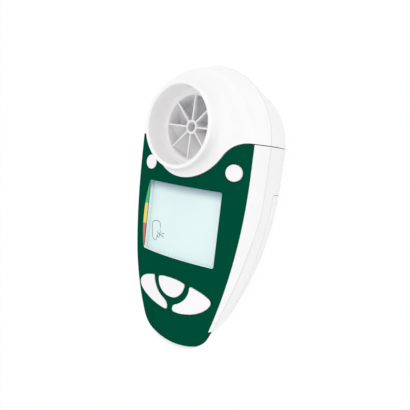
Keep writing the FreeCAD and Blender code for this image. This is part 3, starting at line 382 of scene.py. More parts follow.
def run_tree(name, source, tree, inputs, material, body):
    """Runs a geometry tree on a mesh and keeps the result as a plain piece."""
    carrier = bpy.data.objects.new(f"{name}_source", source)
    bpy.context.scene.collection.objects.link(carrier)
    modifier = carrier.modifiers.new("Shape", "NODES")
    modifier.node_group = tree
    for item in tree.interface.items_tree:
        if item.item_type == "SOCKET" and item.in_out == "INPUT" and item.name in inputs:
            modifier[item.identifier] = inputs[item.name]
    graph = bpy.context.evaluated_depsgraph_get()
    mesh = bpy.data.meshes.new_from_object(carrier.evaluated_get(graph))
    mesh.name = name
    bpy.data.objects.remove(carrier)
    if not mesh.polygons:
        raise RuntimeError(f"{name} came out empty")
    return add_mesh(name, mesh, material, body)


# Case and flowhead

class MONITOR_OT_shells(bpy.types.Operator):
    """Finishes the moulded case, the flowhead and the printed fascia"""

    bl_idname = "monitor.shells"
    bl_label = "Case and flowhead"

    def execute(self, context):
        tint = colours()
        # ABS, injection moulded in a spark-eroded tool: an even satin with a fine grain
        dress(moulded("satin_moulded_abs", tint.shell, 0.42),
              "front_shell", "rear_shell", "battery_door")
        # ABS, injection moulded in a stoned tool: smoother, with a soft broad highlight
        dress(moulded("smooth_moulded_abs", tint.flowhead, 0.36, grain=0.5, depth=0.006),
              "flowhead_front", "flowhead_rear")
        # Polycarbonate overlay, printed on its back: deep even colour under a hard skin
        dress(moulded(
            "back_printed_polycarbonate", tint.fascia, 0.34, grain=0.25, depth=0.006,
            edge=0.12, drift=0.06, **{"Specular IOR Level": 0.0}), "fascia")
        return {"FINISHED"}


class MONITOR_OT_turbine(bpy.types.Operator):
    """Finishes the turbine inside the flowhead"""

    bl_idname = "monitor.turbine"
    bl_label = "Turbine"

    def execute(self, context):
        tint = colours()
        # Acetal, injection moulded: a dense waxy white that stays matte
        dress(moulded("moulded_acetal", tint.stator, 0.5, grain=0.4, edge=0.15),
              "swirl_vanes", "stator_hub", "stator_ring")
        # Painted glow: a faint emission stands in for the daylight that comes through the thin
        # walls to the pieces deep in the tube
        pale = linear("#EDEDEF")
        painted_glow = {"Emission Color": pale, "Emission Strength": 0.08}
        # Acetal again, deeper in the tube: a copy of the acetal above that has the painted glow
        dress(moulded(
            "deep_moulded_acetal_painted_glow", tint.stator, 0.5, grain=0.4, edge=0.15, **painted_glow),
              "rear_stator")
        # Styrene, moulded clear and lightly frosted by wear from cleaning, with the painted glow
        dress(moulded("frosted_styrene_painted_glow", linear("#F0F0F1"), 0.4, **painted_glow), "turbine_tube")
        # Polyester film, cut and folded: thin, bright and slightly glossy, with the painted glow
        dress(moulded("cut_polyester_film_painted_glow", pale, 0.3, **painted_glow), "rotor_vane")
        # Synthetic ruby, ground and polished
        dress(moulded("polished_ruby", linear("#8E1C34"), 0.12, depth=0.001),
              "front_bearing", "rear_bearing")
        dress(drawn_steel("drawn_stainless_steel", "#B9B8B6", 0.25), "rotor_spindle")
        return {"FINISHED"}


class MONITOR_OT_inside(bpy.types.Operator):
    """Finishes the electronics, the battery bay and the screws"""

    bl_idname = "monitor.inside"
    bl_label = "Inside"

    def execute(self, context):
        # Glass-fibre laminate under green solder mask, screened and baked
        dress(moulded("green_solder_mask", linear("#1F6A3C"), 0.4, grain=0.8), "main_board")
        # Epoxy moulding compound, transfer moulded: a dull black
        dress(moulded("black_mould_compound", linear("#1D1D1F"), 0.6),
              "controller_chip", "buzzer", "power_switch")
        # Dyed clear epoxy, cast: nearly black with a gloss
        dress(moulded("dyed_cast_epoxy", linear("#231C26"), 0.18), "ir_emitter", "ir_detector")
        # Silicone rubber, compression moulded: soft and slightly dusty
        dress(moulded("compression_moulded_silicone", linear("#B9BDBE"), 0.65),
              "key_mat", "lcd_connectors")
        # White ABS bezel, moulded
        dress(moulded("matte_moulded_abs", linear("#E6E9E9"), 0.55), "lcd_frame")
        # Float glass with a pale reflective film on its back
        dress(moulded("filmed_float_glass", linear("#D6E3E2"), 0.1, depth=0.001), "lcd_panel")
        # Steel can in a printed shrink sleeve, with no print on it here
        dress(moulded("shrink_sleeved_can", linear("#4A5158"), 0.32),
              "battery_cell_left", "battery_cell_right")
        # Nickel-plated spring steel, stamped
        dress(drawn_steel("nickel_plated_steel", "#C7C3BC", 0.3),
              "battery_contacts", "battery_springs", "case_screws")
        return {"FINISHED"}


# Display

def film_material(tint, top):
    """Reflective display film: pale and even with a faint bluish unevenness, darkened by a
    painted shadow along the window's top edge, and with a faint painted glow.
    """
    material = new_material("reflective_display_film_painted_shadow_glow")
    tree = material.node_tree
    cloud = object_noise(tree, 22 * MM, 2.0)
    place = add_node(tree, "ShaderNodeTexCoord")
    parts = add_node(
        tree, "ShaderNodeSeparateXYZ", links={"Vector": place.outputs["Object"]})
    # Painted shadow: near the window's top edge the film's colour is multiplied by a blue-grey,
    # which stands in for the shade that the window's upper edge casts on the reflector behind
    # the liquid crystal
    painted_shadow_band = add_node(
        tree, "ShaderNodeMapRange", settings={"interpolation_type": "SMOOTHSTEP"},
        values={"From Min": top - 4.4 * MM, "From Max": top - 0.2 * MM},
        links={"Value": parts.outputs["Y"]})
    shade = add_node(
        tree, "ShaderNodeMix", settings={"data_type": "RGBA", "blend_type": "MULTIPLY"},
        values={7: linear("#A3B0BF")},
        links={0: painted_shadow_band.outputs[0], 6: tinted(tree, cloud, tint, 0.05).outputs[0]})
    # Painted glow: a faint emission of the film's shaded colour brightens the film, though it is
    # no lamp
    shader = add_node(
        tree, "ShaderNodeBsdfPrincipled",
        values={"Roughness": 0.35, "IOR": 1.5, "Specular IOR Level": 0.2,
                "Emission Strength": 0.05},
        links={"Base Color": shade.outputs[2], "Emission Color": shade.outputs[2]})
    return close_material(material, shader)


def lens_material():
    """Acrylic, cast and hard coated: clear, with a faint gloss."""
    material = new_material("hard_coated_acrylic")
    tree = material.node_tree
    haze = object_noise(tree, 9 * MM, 2.0)
    rub = spread(tree, haze, 0.06, 0.14)
    shader = add_node(
        tree, "ShaderNodeBsdfPrincipled",
        values={"Base Color": linear("#EEF8F8"), "IOR": 1.49, "Alpha": 0.1,
                "Specular IOR Level": 0.25},
        links={"Roughness": rub.outputs[0]})
    return close_material(material, shader)


def scale_material(tint, top, foot):
    """Three screen-printed inks, one below the other."""
    material = new_material("screen_printed_scale")
    tree = material.node_tree
    place = add_node(tree, "ShaderNodeTexCoord")
    parts = add_node(
        tree, "ShaderNodeSeparateXYZ", links={"Vector": place.outputs["Object"]})
    share = add_node(
        tree, "ShaderNodeMapRange", values={"From Min": foot, "From Max": top},
        links={"Value": parts.outputs["Y"]})
    ramp = add_node(tree, "ShaderNodeValToRGB", links={"Fac": share.outputs[0]})
    ramp.color_ramp.interpolation = "CONSTANT"
    ramp.color_ramp.elements[0].color = tint.lower
    ramp.color_ramp.elements[1].position = 0.345
    ramp.color_ramp.elements[1].color = tint.middle
    ramp.color_ramp.elements.new(0.665).color = tint.high
    shader = add_node(
        tree, "ShaderNodeBsdfPrincipled", values={"Roughness": 0.3, "IOR": 1.5},
        links={"Base Color": ramp.outputs[0]})
    return close_material(material, shader)


def ink_and_painted_shade(name, colour, rough=0.4):
    """A flat colour with a faint unevenness: screen-printed ink, and also the painted shade of
    the parting groove.
    """
    material = new_material(name)
    tree = material.node_tree
    cloud = object_noise(tree, 2 * MM, 3.0)
    rub = spread(tree, cloud, rough - 0.06, rough + 0.06)
    shader = add_node(
        tree, "ShaderNodeBsdfPrincipled", values={"IOR": 1.5},
        links={"Base Color": tinted(tree, cloud, colour, 0.03).outputs[0],
               "Roughness": rub.outputs[0]})
    return close_material(material, shader)


class MONITOR_OT_display(bpy.types.Operator):
    """Makes the display film with its symbol and the printed scale, and finishes the lens"""

    bl_idname = "monitor.display"
    bl_label = "Display"

    def execute(self, context):
        size, tint = sizes(), colours()
        dress(lens_material(), "display_lens")
        low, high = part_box("colour_scale")
        inks = scale_material(tint, high.y, low.y)
        dress(inks, "colour_scale")
        strip = add_piece(
            "colour_scale_print", scale_print(size, low, high), inks, "case")
        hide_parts("colour_scale")
        film = film_material(tint.film, WINDOW[1].y)
        add_piece("display_film", film_sheet(size), film, "case")
        # The liner wears the film's material, with its painted shadow along the window's top
        # edge and its painted glow
        add_piece("window_liner", window_liner(size), film, "case")
        add_piece(
            "display_symbol", display_symbol(size), ink_and_painted_shade("display_segments", tint.symbol),
            "case")
        return {"FINISHED"}


def film_sheet(size):
    """The display film, which follows the crown a little inside the lens's edge."""
    low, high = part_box("display_lens")
    border = 0.3 * MM
    steps = 24
    grid = []
    for row in range(steps + 1):
        y = low.y + border + (high.y - low.y - 2 * border) * row / steps
        line = []
        for column in range(steps + 1):
            x = low.x + border + (high.x - low.x - 2 * border) * column / steps
            line.append(Vector((x, y, face_height(x, size.film_depth))))
        grid.append(line)
    sheet = thick_sheet(grid, size.film_thickness)
    smooth_by_angle(sheet, 40)
    return sheet


def window_liner(size):
    """The pale walls of the display's tray, from the face down to the film."""
    low, high = WINDOW
    corner = 0.8 * MM
    loop = []
    for x, y, first in (
            (high.x, high.y, 0), (low.x, high.y, 90), (low.x, low.y, 180), (high.x, low.y, 270)):
        centre_x = x - math.copysign(corner, x - (low.x + high.x) / 2)
        centre_y = y - math.copysign(corner, y - (low.y + high.y) / 2)
        for step in range(7):
            angle = math.radians(first + 15 * step)
            loop.append(Vector((
                centre_x + corner * math.cos(angle), centre_y + corner * math.sin(angle))))
    dense = []
    for start, end in zip(loop, loop[1:] + loop[:1]):
        pieces = max(1, round((end - start).length / (1.5 * MM)))
        dense.extend(start.lerp(end, step / pieces) for step in range(pieces))
    inner = grown(dense, -size.film_thickness)
    liner = bmesh.new()
    rings = []
    for places, lift in (
            (dense, -size.film_depth), (dense, -0.1 * MM), (inner, -0.1 * MM),
            (inner, -size.film_depth)):
        rings.append([liner.verts.new(face_place(p.x, p.y, lift)) for p in places])
    for first, second in zip(rings, rings[1:] + rings[:1]):
        for number in range(len(dense)):
            after = (number + 1) % len(dense)
            liner.faces.new((first[number], first[after], second[after], second[number]))
    bmesh.ops.recalc_face_normals(liner, faces=liner.faces)
    smooth_by_angle(liner, 40)
    return liner


def scale_print(size, low, high):
    """The crescent beside the window, printed flush with the face."""
    # How far it passes the solid strip: towards the window, in width and at each end
    overlap, widening, lengthening = 0.12 * MM, 0.3 * MM, 0.9 * MM
    narrowest, thickness = 0.02 * MM, 0.5 * MM
    rows, columns = 40, 6
    right = high.x + overlap
    bulge = high.x - low.x + widening
    middle = (low.y + high.y) / 2
    half = (high.y - low.y) / 2 + lengthening
    grid = []
    for row in range(rows + 1):
        share = 2 * row / rows - 1
        y = middle + half * share
        left = right - max(bulge * (1 - share * share), narrowest)
        grid.append([
            face_place(left + (right - left) * column / columns, y, size.print_thickness)
            for column in range(columns + 1)])
    return thick_sheet(grid, thickness)


# Strokes of the display symbol in mm: a head in profile that breathes out
SYMBOL_STROKES = (
    ((-10.9, -9.74), (-11.3, -7.95), (-11.95, -7.4), (-13.3, -7.0), (-15.6, -7.4),
     (-16.75, -8.2), (-17.05, -9.0), (-16.0, -14.4), (-15.1, -15.1), (-13.7, -15.4),
     (-13.0, -14.95), (-12.85, -13.7), (-12.3, -12.75)),
    ((-11.4, -10.3), (-10.8, -10.9), (-10.75, -11.6), (-11.7, -12.4), (-12.6, -12.0),
     (-12.9, -11.5)),
    ((-11.6, -12.4), (-10.45, -12.4), (-9.5, -12.8), (-8.35, -13.3)),
    ((-9.75, -11.9), (-8.4, -11.5)),
    ((-12.4, -13.1), (-12.5, -13.7), (-11.8, -13.9), (-11.2, -13.25), (-10.9, -12.6)),
)


def display_symbol(size):
    """The symbol as thin raised strokes on the film."""
    depth = size.film_depth - size.print_thickness
    half = size.icon_line / 2
    shape = bmesh.new()
    for stroke in SYMBOL_STROKES:
        places = [Vector(place) * MM for place in stroke]
        sides = []
        for number, place in enumerate(places):
            ahead = places[min(number + 1, len(places) - 1)]
            along = (ahead - places[max(number - 1, 0)]).normalized()
            across = Vector((-along.y, along.x)) * half
            sides.append((place + across, place - across))
        grid = []
        for pair in sides:
            grid.append([Vector((spot.x, spot.y, face_height(spot.x, depth))) for spot in pair])
        stroke_mesh = bpy.data.meshes.new("stroke")
        ribbon = thick_sheet(grid, size.print_thickness)
        ribbon.to_mesh(stroke_mesh)
        ribbon.free()
        shape.from_mesh(stroke_mesh)
        bpy.data.meshes.remove(stroke_mesh)
    return shape


# Keys

# Outlines of the key caps in mm, as seen from the front, anticlockwise
KEY_OUTLINES = {
    "left_key": (
        (-9.97, -29.37), (-10.51, -29.22), (-11.8, -29.5), (-15.2, -30.5), (-18.1, -32.0),
        (-19.6, -33.9),
        (-19.6, -35.6), (-18.4, -37.1), (-16.6, -38.3), (-14.2, -39.4), (-10.7, -40.6),
        (-6.8, -41.5), (-3.6, -41.9), (-2.2, -41.8), (-1.7, -41.1), (-1.7, -39.7),
        (-2.2, -38.7), (-3.4, -37.8), (-5.4, -36.7), (-7.1, -35.3), (-8.4, -33.5),
        (-9.4, -31.3), (-9.63, -29.82)),
    "enter_key": (
        (-6.3, -28.7), (-6.7, -29.4), (-6.7, -30.7), (-6.0, -32.6), (-4.6, -34.3),
        (-2.5, -35.5), (0.0, -35.9), (2.5, -35.6), (4.7, -34.3), (6.3, -32.5),
        (7.2, -30.5), (7.4, -29.5), (7.0, -28.8), (4.2, -28.1), (0.0, -27.9),
        (-4.2, -28.2)),
    "right_key": (
        (10.71, -29.22), (10.17, -29.36), (9.86, -29.83), (9.7, -31.3), (8.9, -33.3),
        (7.6, -35.2),
        (5.7, -36.9), (3.9, -38.0), (2.4, -38.8), (1.6, -39.9), (1.45, -40.9),
        (1.85, -41.55), (2.8, -41.8), (5.7, -41.7), (9.4, -40.9), (12.5, -39.9),
        (15.2, -38.5), (17.5, -36.8), (19.0, -35.0), (19.5, -33.5), (18.9, -32.3),
        (17.2, -31.2), (14.8, -30.25), (12.2, -29.55)),
}
KEY_CENTRES = {"left_key": (-12.4, -35.6), "enter_key": (0.2, -30.8), "right_key": (12.0, -35.6)}
KEY_BODIES = {
    "enter_key": "enter", "left_key": "left", "right_key": "right", "power_button": "power"}
# The outer edge of the sheet round the keys, in mm
WEB_OUTLINE = (
    (0.0, -26.9), (-8.0, -27.7), (-14.5, -29.3), (-18.9, -31.6), (-20.7, -34.4),
    (-19.4, -37.2), (-15.0, -40.2), (-8.5, -43.4), (0.0, -43.9), (8.5, -43.2),
    (15.0, -40.2), (19.4, -37.2), (20.7, -34.4), (18.9, -31.6), (14.5, -28.9),
    (8.0, -27.6))


def smooth_loop(points, steps=6):
    """A closed curve through points given in mm, in metres, run anticlockwise."""
    loop = []
    for number in range(len(points)):
        before, start, end, after = (
            Vector(points[(number + shift) % len(points)]) * MM for shift in (-1, 0, 1, 2))
        for step in range(steps):
            t = step / steps
            loop.append(0.5 * (
                2 * start + (end - before) * t
                + (2 * before - 5 * start + 4 * end - after) * t * t
                + (3 * start - before - 3 * end + after) * t * t * t))
    area = sum(a.cross(b) for a, b in zip(loop, loop[1:] + loop[:1]))
    return loop if area > 0 else loop[::-1]


def grown(loop, distance):
    """The loop moved outwards by a distance."""
    moved = []
    for number, place in enumerate(loop):
        along = (loop[(number + 1) % len(loop)] - loop[number - 1]).normalized()
        moved.append(place + Vector((along.y, -along.x)) * distance)
    return moved


def holds(loop, place):
    """Whether the loop goes round the place."""
    inside = False
    for a, b in zip(loop, loop[1:] + loop[:1]):
        if (a.y > place.y) != (b.y > place.y):
            if place.x < a.x + (b.x - a.x) * (place.y - a.y) / (b.y - a.y):
                inside = not inside
    return inside


def rounded_rim(proud, radius):
    """How far in and how high each level of a cap's rounded rim lies."""
    for degrees in range(0, 91, 18):
        angle = math.radians(degrees)
        yield radius * (1 - math.cos(angle)), proud - radius * (1 - math.sin(angle))


def closed_cap(cap, rings, tip):
    """Joins a cap's rings, closes its foot and brings its top to the tip."""
    count = len(rings[0])
    top = cap.verts.new(tip)
    cap.faces.new(rings[0][::-1])
    for lower, upper in zip(rings, rings[1:]):
        for number in range(count):
            after = (number + 1) % count
            cap.faces.new((lower[number], lower[after], upper[after], upper[number]))
    for number in range(count):
        cap.faces.new((rings[-1][number], rings[-1][(number + 1) % count], top))
    smooth_by_angle(cap, 50)
    return cap


def key_cap(node, proud, radius):
    """A cap on the key's own outline, with a rounded rim and a crowned top."""
    loop = smooth_loop(KEY_OUTLINES[node])
    centre = Vector(KEY_CENTRES[node]) * MM
    cap = bmesh.new()
    rings = [[cap.verts.new(face_place(place.x, place.y, -CAP_FOOT)) for place in loop]]
    for inset, lift in rounded_rim(proud, radius):
        inner = grown(loop, -inset)
        rings.append([cap.verts.new(face_place(place.x, place.y, lift)) for place in inner])
    for share in (0.8, 0.55, 0.3):
        rings.append([
            cap.verts.new(face_place(*(centre + (place - centre) * share), proud))
            for place in inner])
    return closed_cap(cap, rings, face_place(centre.x, centre.y, proud))


def round_cap(node, proud, radius):
    """The round power button: a turned cap with a rounded rim."""
    low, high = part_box(node)
    centre = (low + high) / 2
    sides = 64
    # Each level's reach and its height over the face; the foot stands on the solid's foot
    levels = [(BUTTON_RADIUS, None)]
    for inset, lift in rounded_rim(proud, radius):
        levels.append((BUTTON_RADIUS - inset, lift))
    flat = levels[-1][0]
    levels.extend((flat * share, proud) for share in (0.7, 0.4))
    cap = bmesh.new()
    rings = []
    for reach, lift in levels:
        ring = []
        for side in range(sides):
            angle = 2 * math.pi * side / sides
            x = centre.x + reach * math.cos(angle)
            y = centre.y + reach * math.sin(angle)
            place = face_place(x, y, lift or 0.0)
            ring.append(cap.verts.new((x, y, low.z if lift is None else place.z)))
        rings.append(ring)
    return closed_cap(cap, rings, face_place(centre.x, centre.y, proud))


def key_web(clearance, lift, thickness):
    """The sheet between and around the keys, with an opening for each."""
    outer = smooth_loop(WEB_OUTLINE)
    holes = [grown(smooth_loop(points), clearance) for points in KEY_OUTLINES.values()]
    places, edges = [], []
    for loop in (outer, *holes):
        first = len(places)
        places.extend(loop)
        edges.extend(
            (first + number, first + (number + 1) % len(loop)) for number in range(len(loop)))
    flat, _, faces, _, _, _ = delaunay_2d_cdt(places, edges, [], 0, 1e-7)
    web = bmesh.new()
    verts = [web.verts.new(face_place(place.x, place.y, lift)) for place in flat]
    kept = []
    for face in faces:
        middle = sum((flat[number] for number in face), Vector((0.0, 0.0))) / len(face)
        if holds(outer, middle) and not any(holds(hole, middle) for hole in holes):
            kept.append(web.faces.new([verts[number] for number in face]))
    web.normal_update()
    if kept[0].normal.z < 0:
        bmesh.ops.reverse_faces(web, faces=kept)
    made = bmesh.ops.extrude_face_region(web, geom=kept)["geom"]
    for item in made:
        if isinstance(item, bmesh.types.BMVert):
            item.co -= UP * thickness
    bmesh.ops.recalc_face_normals(web, faces=web.faces)
    smooth_by_angle(web, 40)
    return web


class MONITOR_OT_keys(bpy.types.Operator):
    """Makes the caps of the three keys and the power button, and the sheet round the keys"""

    bl_idname = "monitor.keys"
    bl_label = "Keys"

    def execute(self, context):
        # ABS key caps, injection moulded with a fine satin skin
        material = moulded("satin_key_abs", colours().key, 0.45, grain=0.4, edge=0.1)
        size = sizes()
        for node, body in KEY_BODIES.items():
            shape = round_cap if node == "power_button" else key_cap
            cap = shape(node, size.key_proud, size.key_round)
            piece = add_piece(f"{node}_cap", cap, material, body)
            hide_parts(node)
        web = key_web(size.key_clearance, size.print_thickness, WEB_THICKNESS)
        add_piece("key_web", web, NODES["fascia"].data.materials[0], "case")
        return {"FINISHED"}


# Print

class MONITOR_OT_oval(bpy.types.Operator):
    """Makes the bare white oval on the fascia"""

    bl_idname = "monitor.oval"
    bl_label = "Bare oval"

    def execute(self, context):
        size = sizes()
        face = surface_tree("fascia")
        centre = OVAL_CENTRE
        rings, sides = 6, 48
        shape = bmesh.new()
        middle = shape.verts.new(
            on_surface(face, centre.x, centre.y, size.print_thickness))
        loops = []
        for ring in range(1, rings + 1):
            share = ring / rings
            loop = []
            for side in range(sides):
                angle = 2 * math.pi * side / sides
                x = centre.x + share * size.oval_width / 2 * math.cos(angle)
                y = centre.y + share * size.oval_height / 2 * math.sin(angle)
                loop.append(shape.verts.new(on_surface(face, x, y, size.print_thickness)))
            loops.append(loop)
        foot = []
        for vert in loops[-1]:
            foot.append(shape.verts.new(vert.co - UP * size.print_thickness * 2))
        loops.append(foot)
        for side in range(sides):
            after = (side + 1) % sides
            shape.faces.new((middle, loops[0][side], loops[0][after]))
            for inner, outer in zip(loops, loops[1:]):
                shape.faces.new((inner[side], outer[side], outer[after], inner[after]))
        shape.faces.new(foot[::-1])
        smooth_by_angle(shape, 40)
        add_piece(
            "bare_oval", shape, ink_and_painted_shade("white_screen_ink", linear("#F6F6F6")), "case")
        return {"FINISHED"}


# Seams

def seam_mesh(node, radius):
    """The outer edge of a shell where it meets the other, drawn in by a radius."""
    shell = merged_copy(node)
    shell.normal_update()
    around = BVHTree.FromBMesh(shell)
    chosen = []
    for edge in shell.edges:
        if len(edge.link_faces) != 2:
            continue
        first, second = (face.normal for face in edge.link_faces)
        flat = first if first.z < second.z else second
        side = second if flat is first else first
        if flat.z > SEAM_DOWNWARD or abs(side.z) > SEAM_LEAN:
            continue
        middle = (edge.verts[0].co + edge.verts[1].co) / 2
        outward = Vector((middle.x, middle.y, 0.0)).dot(Vector((side.x, side.y, 0.0)))
        if outward <= 0 or middle.z < SEAM_LOWEST:
            continue
        # An inner edge looks at another wall of the shell, the outer edge at nothing
        way = Vector((side.x, side.y, 0.0)).normalized()
        start = middle + way * 0.2 * MM + UP * 0.05 * MM
        if around.ray_cast(start, way)[0] is None:
            chosen.append((edge, side.copy()))
    mesh = bpy.data.meshes.new(f"{node}_seam")
    places, ways, lines, known = [], [], [], {}
    for edge, side in chosen:
        line = []
        for vert in edge.verts:
            if vert.index not in known:
                known[vert.index] = len(places)
                places.append(vert.co.copy())
                ways.append(Vector((0.0, 0.0, 0.0)))
            line.append(known[vert.index])
            ways[known[vert.index]] += Vector((side.x, side.y, 0.0))
        lines.append(line)
    shell.free()
    for place, way in zip(places, ways):
        place += UP * radius * 1.8 - way.normalized() * (radius + 0.005 * MM)
    mesh.from_pydata(places, lines, [])
    return mesh


def line_tree():
    """Sweeps a small round line along the mesh's edges."""
    tree, entry = start_tree(
        "Parting Line", (("Line Radius", "NodeSocketFloat"),
                         ("Material", "NodeSocketMaterial")))
    path = add_node(tree, "GeometryNodeMeshToCurve", links={"Mesh": entry.outputs[0]})
    ring = add_node(
        tree, "GeometryNodeCurvePrimitiveCircle", values={"Resolution": 8},
        links={"Radius": entry.outputs["Line Radius"]})
    tube = add_node(
        tree, "GeometryNodeCurveToMesh", values={"Fill Caps": True},
        links={"Curve": path.outputs[0], "Profile Curve": ring.outputs[0]})
    end_tree(tree, entry, tube)
    return tree


class MONITOR_OT_seams(bpy.types.Operator):
    """Draws the shadow of the parting groove between the shells"""

    bl_idname = "monitor.seams"
    bl_label = "Parting lines"

    def execute(self, context):
        # Painted shade: a soft grey line stands in for the shadow in the groove between two
        # moulded edges
        material = ink_and_painted_shade("parting_shadow", colours().seam, 0.7)
        tree = line_tree()
        for node, body, slot in (
                ("front_shell", "case", "white_shell"),
                ("flowhead_front", "flowhead", "white_flowhead")):
            run_tree(
                f"{body}_parting_line", seam_mesh(node, sizes().seam_radius), tree,
                {"Line Radius": sizes().seam_radius, "Material": material},
                material, body)
        return {"FINISHED"}


# Grip ribs

def rib_tree():
    """Stands one rounded rib on each point, all turned by the same tilt."""
    tree, entry = start_tree(
        "Grip Ribs", (("Rib Length", "NodeSocketFloat"), ("Rib Radius", "NodeSocketFloat"),
                      ("Tilt", "NodeSocketFloat"), ("Material", "NodeSocketMaterial")))
    ends = []
    for side in (-0.5, 0.5):
        reach = add_node(
            tree, "ShaderNodeMath", settings={"operation": "MULTIPLY"}, values={1: side},
            links={0: entry.outputs["Rib Length"]})
        ends.append(add_node(tree, "ShaderNodeCombineXYZ", links={"X": reach.outputs[0]}))
    line = add_node(
        tree, "GeometryNodeCurvePrimitiveLine",
        links={"Start": ends[0].outputs[0], "End": ends[1].outputs[0]})
    cut = add_node(
        tree, "GeometryNodeResampleCurve", values={"Count": 13},
        links={"Curve": line.outputs[0]})
    share = add_node(tree, "GeometryNodeSplineParameter")
    bulge = add_node(
        tree, "ShaderNodeFloatCurve", links={"Value": share.outputs["Factor"]})
    points = bulge.mapping.curves[0].points
    points[0].location = (0.0, 0.25)
    points[1].location = (1.0, 0.25)
    points.new(0.12, 1.0)
    points.new(0.88, 1.0)
    bulge.mapping.update()
    ring = add_node(
        tree, "GeometryNodeCurvePrimitiveCircle", values={"Resolution": 12},
        links={"Radius": entry.outputs["Rib Radius"]})
    bar = add_node(
        tree, "GeometryNodeCurveToMesh", values={"Fill Caps": True},
        links={"Curve": cut.outputs[0], "Profile Curve": ring.outputs[0],
               "Scale": bulge.outputs[0]})
    turn = add_node(tree, "ShaderNodeCombineXYZ", links={"X": entry.outputs["Tilt"]})
    stand = add_node(
        tree, "GeometryNodeInstanceOnPoints",
        links={"Points": entry.outputs[0], "Instance": bar.outputs[0]})
    tilt = add_node(
        tree, "FunctionNodeEulerToRotation", links={"Euler": turn.outputs[0]})
    tree.links.new(tilt.outputs[0], stand.inputs["Rotation"])
    end_tree(tree, entry, stand)
    return tree


class MONITOR_OT_ribs(bpy.types.Operator):
    """Makes the grip ribs on the battery door"""

    bl_idname = "monitor.ribs"
    bl_label = "Grip ribs"

    def execute(self, context):
        size = sizes()
        door = surface_tree("battery_door")
        places = []
        for number in range(size.rib_count):
            y = FIRST_RIB - number * size.rib_pitch
            place = door.ray_cast(Vector((0.0, y, -0.1)), UP)[0]
            if place is None:
                raise RuntimeError("the battery door isn't where the ribs go")
            places.append(place + UP * size.rib_radius * RIB_SINK)
        points = bpy.data.meshes.new("rib_places")
        points.from_pydata(places, [], [])
        # The same ABS as the door
        material = moulded("satin_rib_abs", colours().shell, 0.42)
        run_tree(
            "door_grip_ribs", points, rib_tree(),
            {"Rib Length": size.rib_length, "Rib Radius": size.rib_radius,
             "Tilt": math.radians(-BACK_RISE), "Material": material},
            material, "door")
        return {"FINISHED"}


# Stage

def seen_by(tree, *rays):
    """1 for the named kinds of ray and 0 for the others, as a socket."""
    path = add_node(tree, "ShaderNodeLightPath")
    found = path.outputs[rays[0]]
    for ray in rays[1:]:
        either = add_node(
            tree, "ShaderNodeMath", settings={"operation": "MAXIMUM"},
            links={0: found, 1: path.outputs[ray]})
        found = either.outputs[0]
    return found


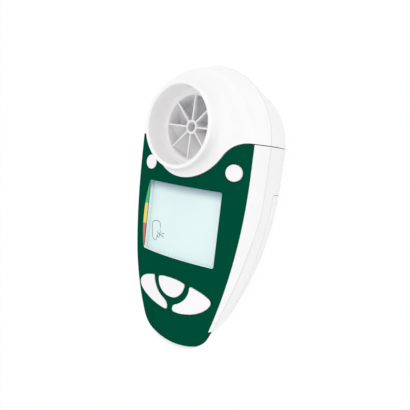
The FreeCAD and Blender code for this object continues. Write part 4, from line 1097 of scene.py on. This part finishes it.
class MONITOR_OT_stage(bpy.types.Operator):
    """Sets the floor, the soft lights, the world and the camera"""

    bl_idname = "monitor.stage"
    bl_label = "Stage"

    def execute(self, context):
        scene = context.scene
        scene.view_settings.view_transform = "Standard"
        self.make_world(scene)
        self.make_floor(scene)
        for name, place, size, power in (
                ("key_softbox", (0.35, 0.15, 0.75), 0.6, 0.15),
                ("fill_softbox", (0.7, -0.3, 0.25), 0.7, 0.5),
                ("top_softbox", (0.2, 0.8, 0.5), 0.6, 0.55)):
            self.make_light(scene, name, Vector(place), size, power)
        self.make_camera(scene)
        return {"FINISHED"}

    @staticmethod
    def make_world(scene):
        world = bpy.data.worlds.new("white_studio")
        scene.world = world
        world.use_nodes = True
        tree = world.node_tree
        tree.nodes.clear()
        seen = seen_by(tree, "Is Camera Ray", "Is Transmission Ray")
        level = add_node(
            tree, "ShaderNodeMapRange", values={"To Min": 0.99, "To Max": 1.0},
            links={"Value": seen})
        sky = add_node(
            tree, "ShaderNodeBackground", values={"Color": (1.0, 1.0, 1.0, 1.0)},
            links={"Strength": level.outputs[0]})
        add_node(tree, "ShaderNodeOutputWorld", links={"Surface": sky.outputs[0]})

    @staticmethod
    def make_floor(scene):
        floor = bmesh.new()
        bmesh.ops.create_grid(floor, x_segments=1, y_segments=1, size=3.0)
        mesh = bpy.data.meshes.new("floor")
        floor.to_mesh(mesh)
        floor.free()
        mesh.transform(Matrix.Translation((0.0, 0.0, -0.02 * MM)))
        piece = bpy.data.objects.new("floor", mesh)
        scene.collection.objects.link(piece)
        material = new_material("white_paper_floor")
        tree = material.node_tree
        paper = add_node(
            tree, "ShaderNodeBsdfDiffuse", values={"Color": linear("#F2F2F2")})
        glow = add_node(
            tree, "ShaderNodeEmission", values={"Color": (1.0, 1.0, 1.0, 1.0)})
        seen = seen_by(tree, "Is Camera Ray", "Is Glossy Ray", "Is Transmission Ray")
        share = add_node(
            tree, "ShaderNodeMapRange", values={"To Min": 0.0, "To Max": 0.97},
            links={"Value": seen})
        mixed = add_node(
            tree, "ShaderNodeMixShader",
            links={0: share.outputs[0], 1: paper.outputs[0], 2: glow.outputs[0]})
        close_material(material, mixed)
        mesh.materials.append(material)

    @staticmethod
    def make_light(scene, name, place, size, power):
        lamp = bpy.data.lights.new(name, "AREA")
        lamp.shape = "DISK"
        lamp.size = size
        lamp.energy = power
        light = bpy.data.objects.new(name, lamp)
        scene.collection.objects.link(light)
        light.location = place
        light.rotation_mode = "QUATERNION"
        aim = Vector((0.0, 0.0, 0.02)) - place
        light.rotation_quaternion = aim.to_track_quat("-Z", "Y")

    @staticmethod
    def make_camera(scene):
        data = bpy.data.cameras.new("photo_camera")
        data.sensor_width = SENSOR
        data.lens = PHOTO_FOCAL / PHOTO_SIZE * SENSOR
        data.clip_start = 0.01
        data.clip_end = 10.0
        camera = bpy.data.objects.new("photo_camera", data)
        scene.collection.objects.link(camera)
        back = -CAMERA_LOOK.normalized()
        side = (CAMERA_RIGHT - back * CAMERA_RIGHT.dot(back)).normalized()
        top = back.cross(side)
        turn = Matrix((side, top, back)).transposed()
        camera.matrix_world = Matrix.Translation(CAMERA_PLACE) @ turn.to_4x4()
        scene.camera = camera


STEPS = (
    MONITOR_OT_shells, MONITOR_OT_turbine, MONITOR_OT_inside, MONITOR_OT_display,
    MONITOR_OT_keys, MONITOR_OT_oval, MONITOR_OT_seams, MONITOR_OT_ribs,
    MONITOR_OT_stage)


class MONITOR_PT_panel(bpy.types.Panel):
    """Shows the monitor's sizes, colours and steps in the sidebar"""

    bl_idname = "MONITOR_PT_panel"
    bl_label = "Lung Function Monitor"
    bl_space_type = "VIEW_3D"
    bl_region_type = "UI"
    bl_category = "Lung Monitor"

    def draw(self, context):
        for group in (context.scene.monitor_sizes, context.scene.monitor_colours):
            column = self.layout.column()
            for name in group.__annotations__:
                column.prop(group, name)
        for step in STEPS:
            self.layout.operator(step.bl_idname)


CLASSES = (MonitorSizes, MonitorColours, *STEPS, MONITOR_PT_panel)


def register():
    for item in CLASSES:
        bpy.utils.register_class(item)
    bpy.types.Scene.monitor_sizes = bpy.props.PointerProperty(type=MonitorSizes)
    bpy.types.Scene.monitor_colours = bpy.props.PointerProperty(type=MonitorColours)


def unregister():
    del bpy.types.Scene.monitor_colours
    del bpy.types.Scene.monitor_sizes
    for item in reversed(CLASSES):
        bpy.utils.unregister_class(item)


def main():
    register()
    for step in STEPS:
        group, name = step.bl_idname.split(".")
        getattr(getattr(bpy.ops, group), name)()


if __name__ == "__main__":
    main()
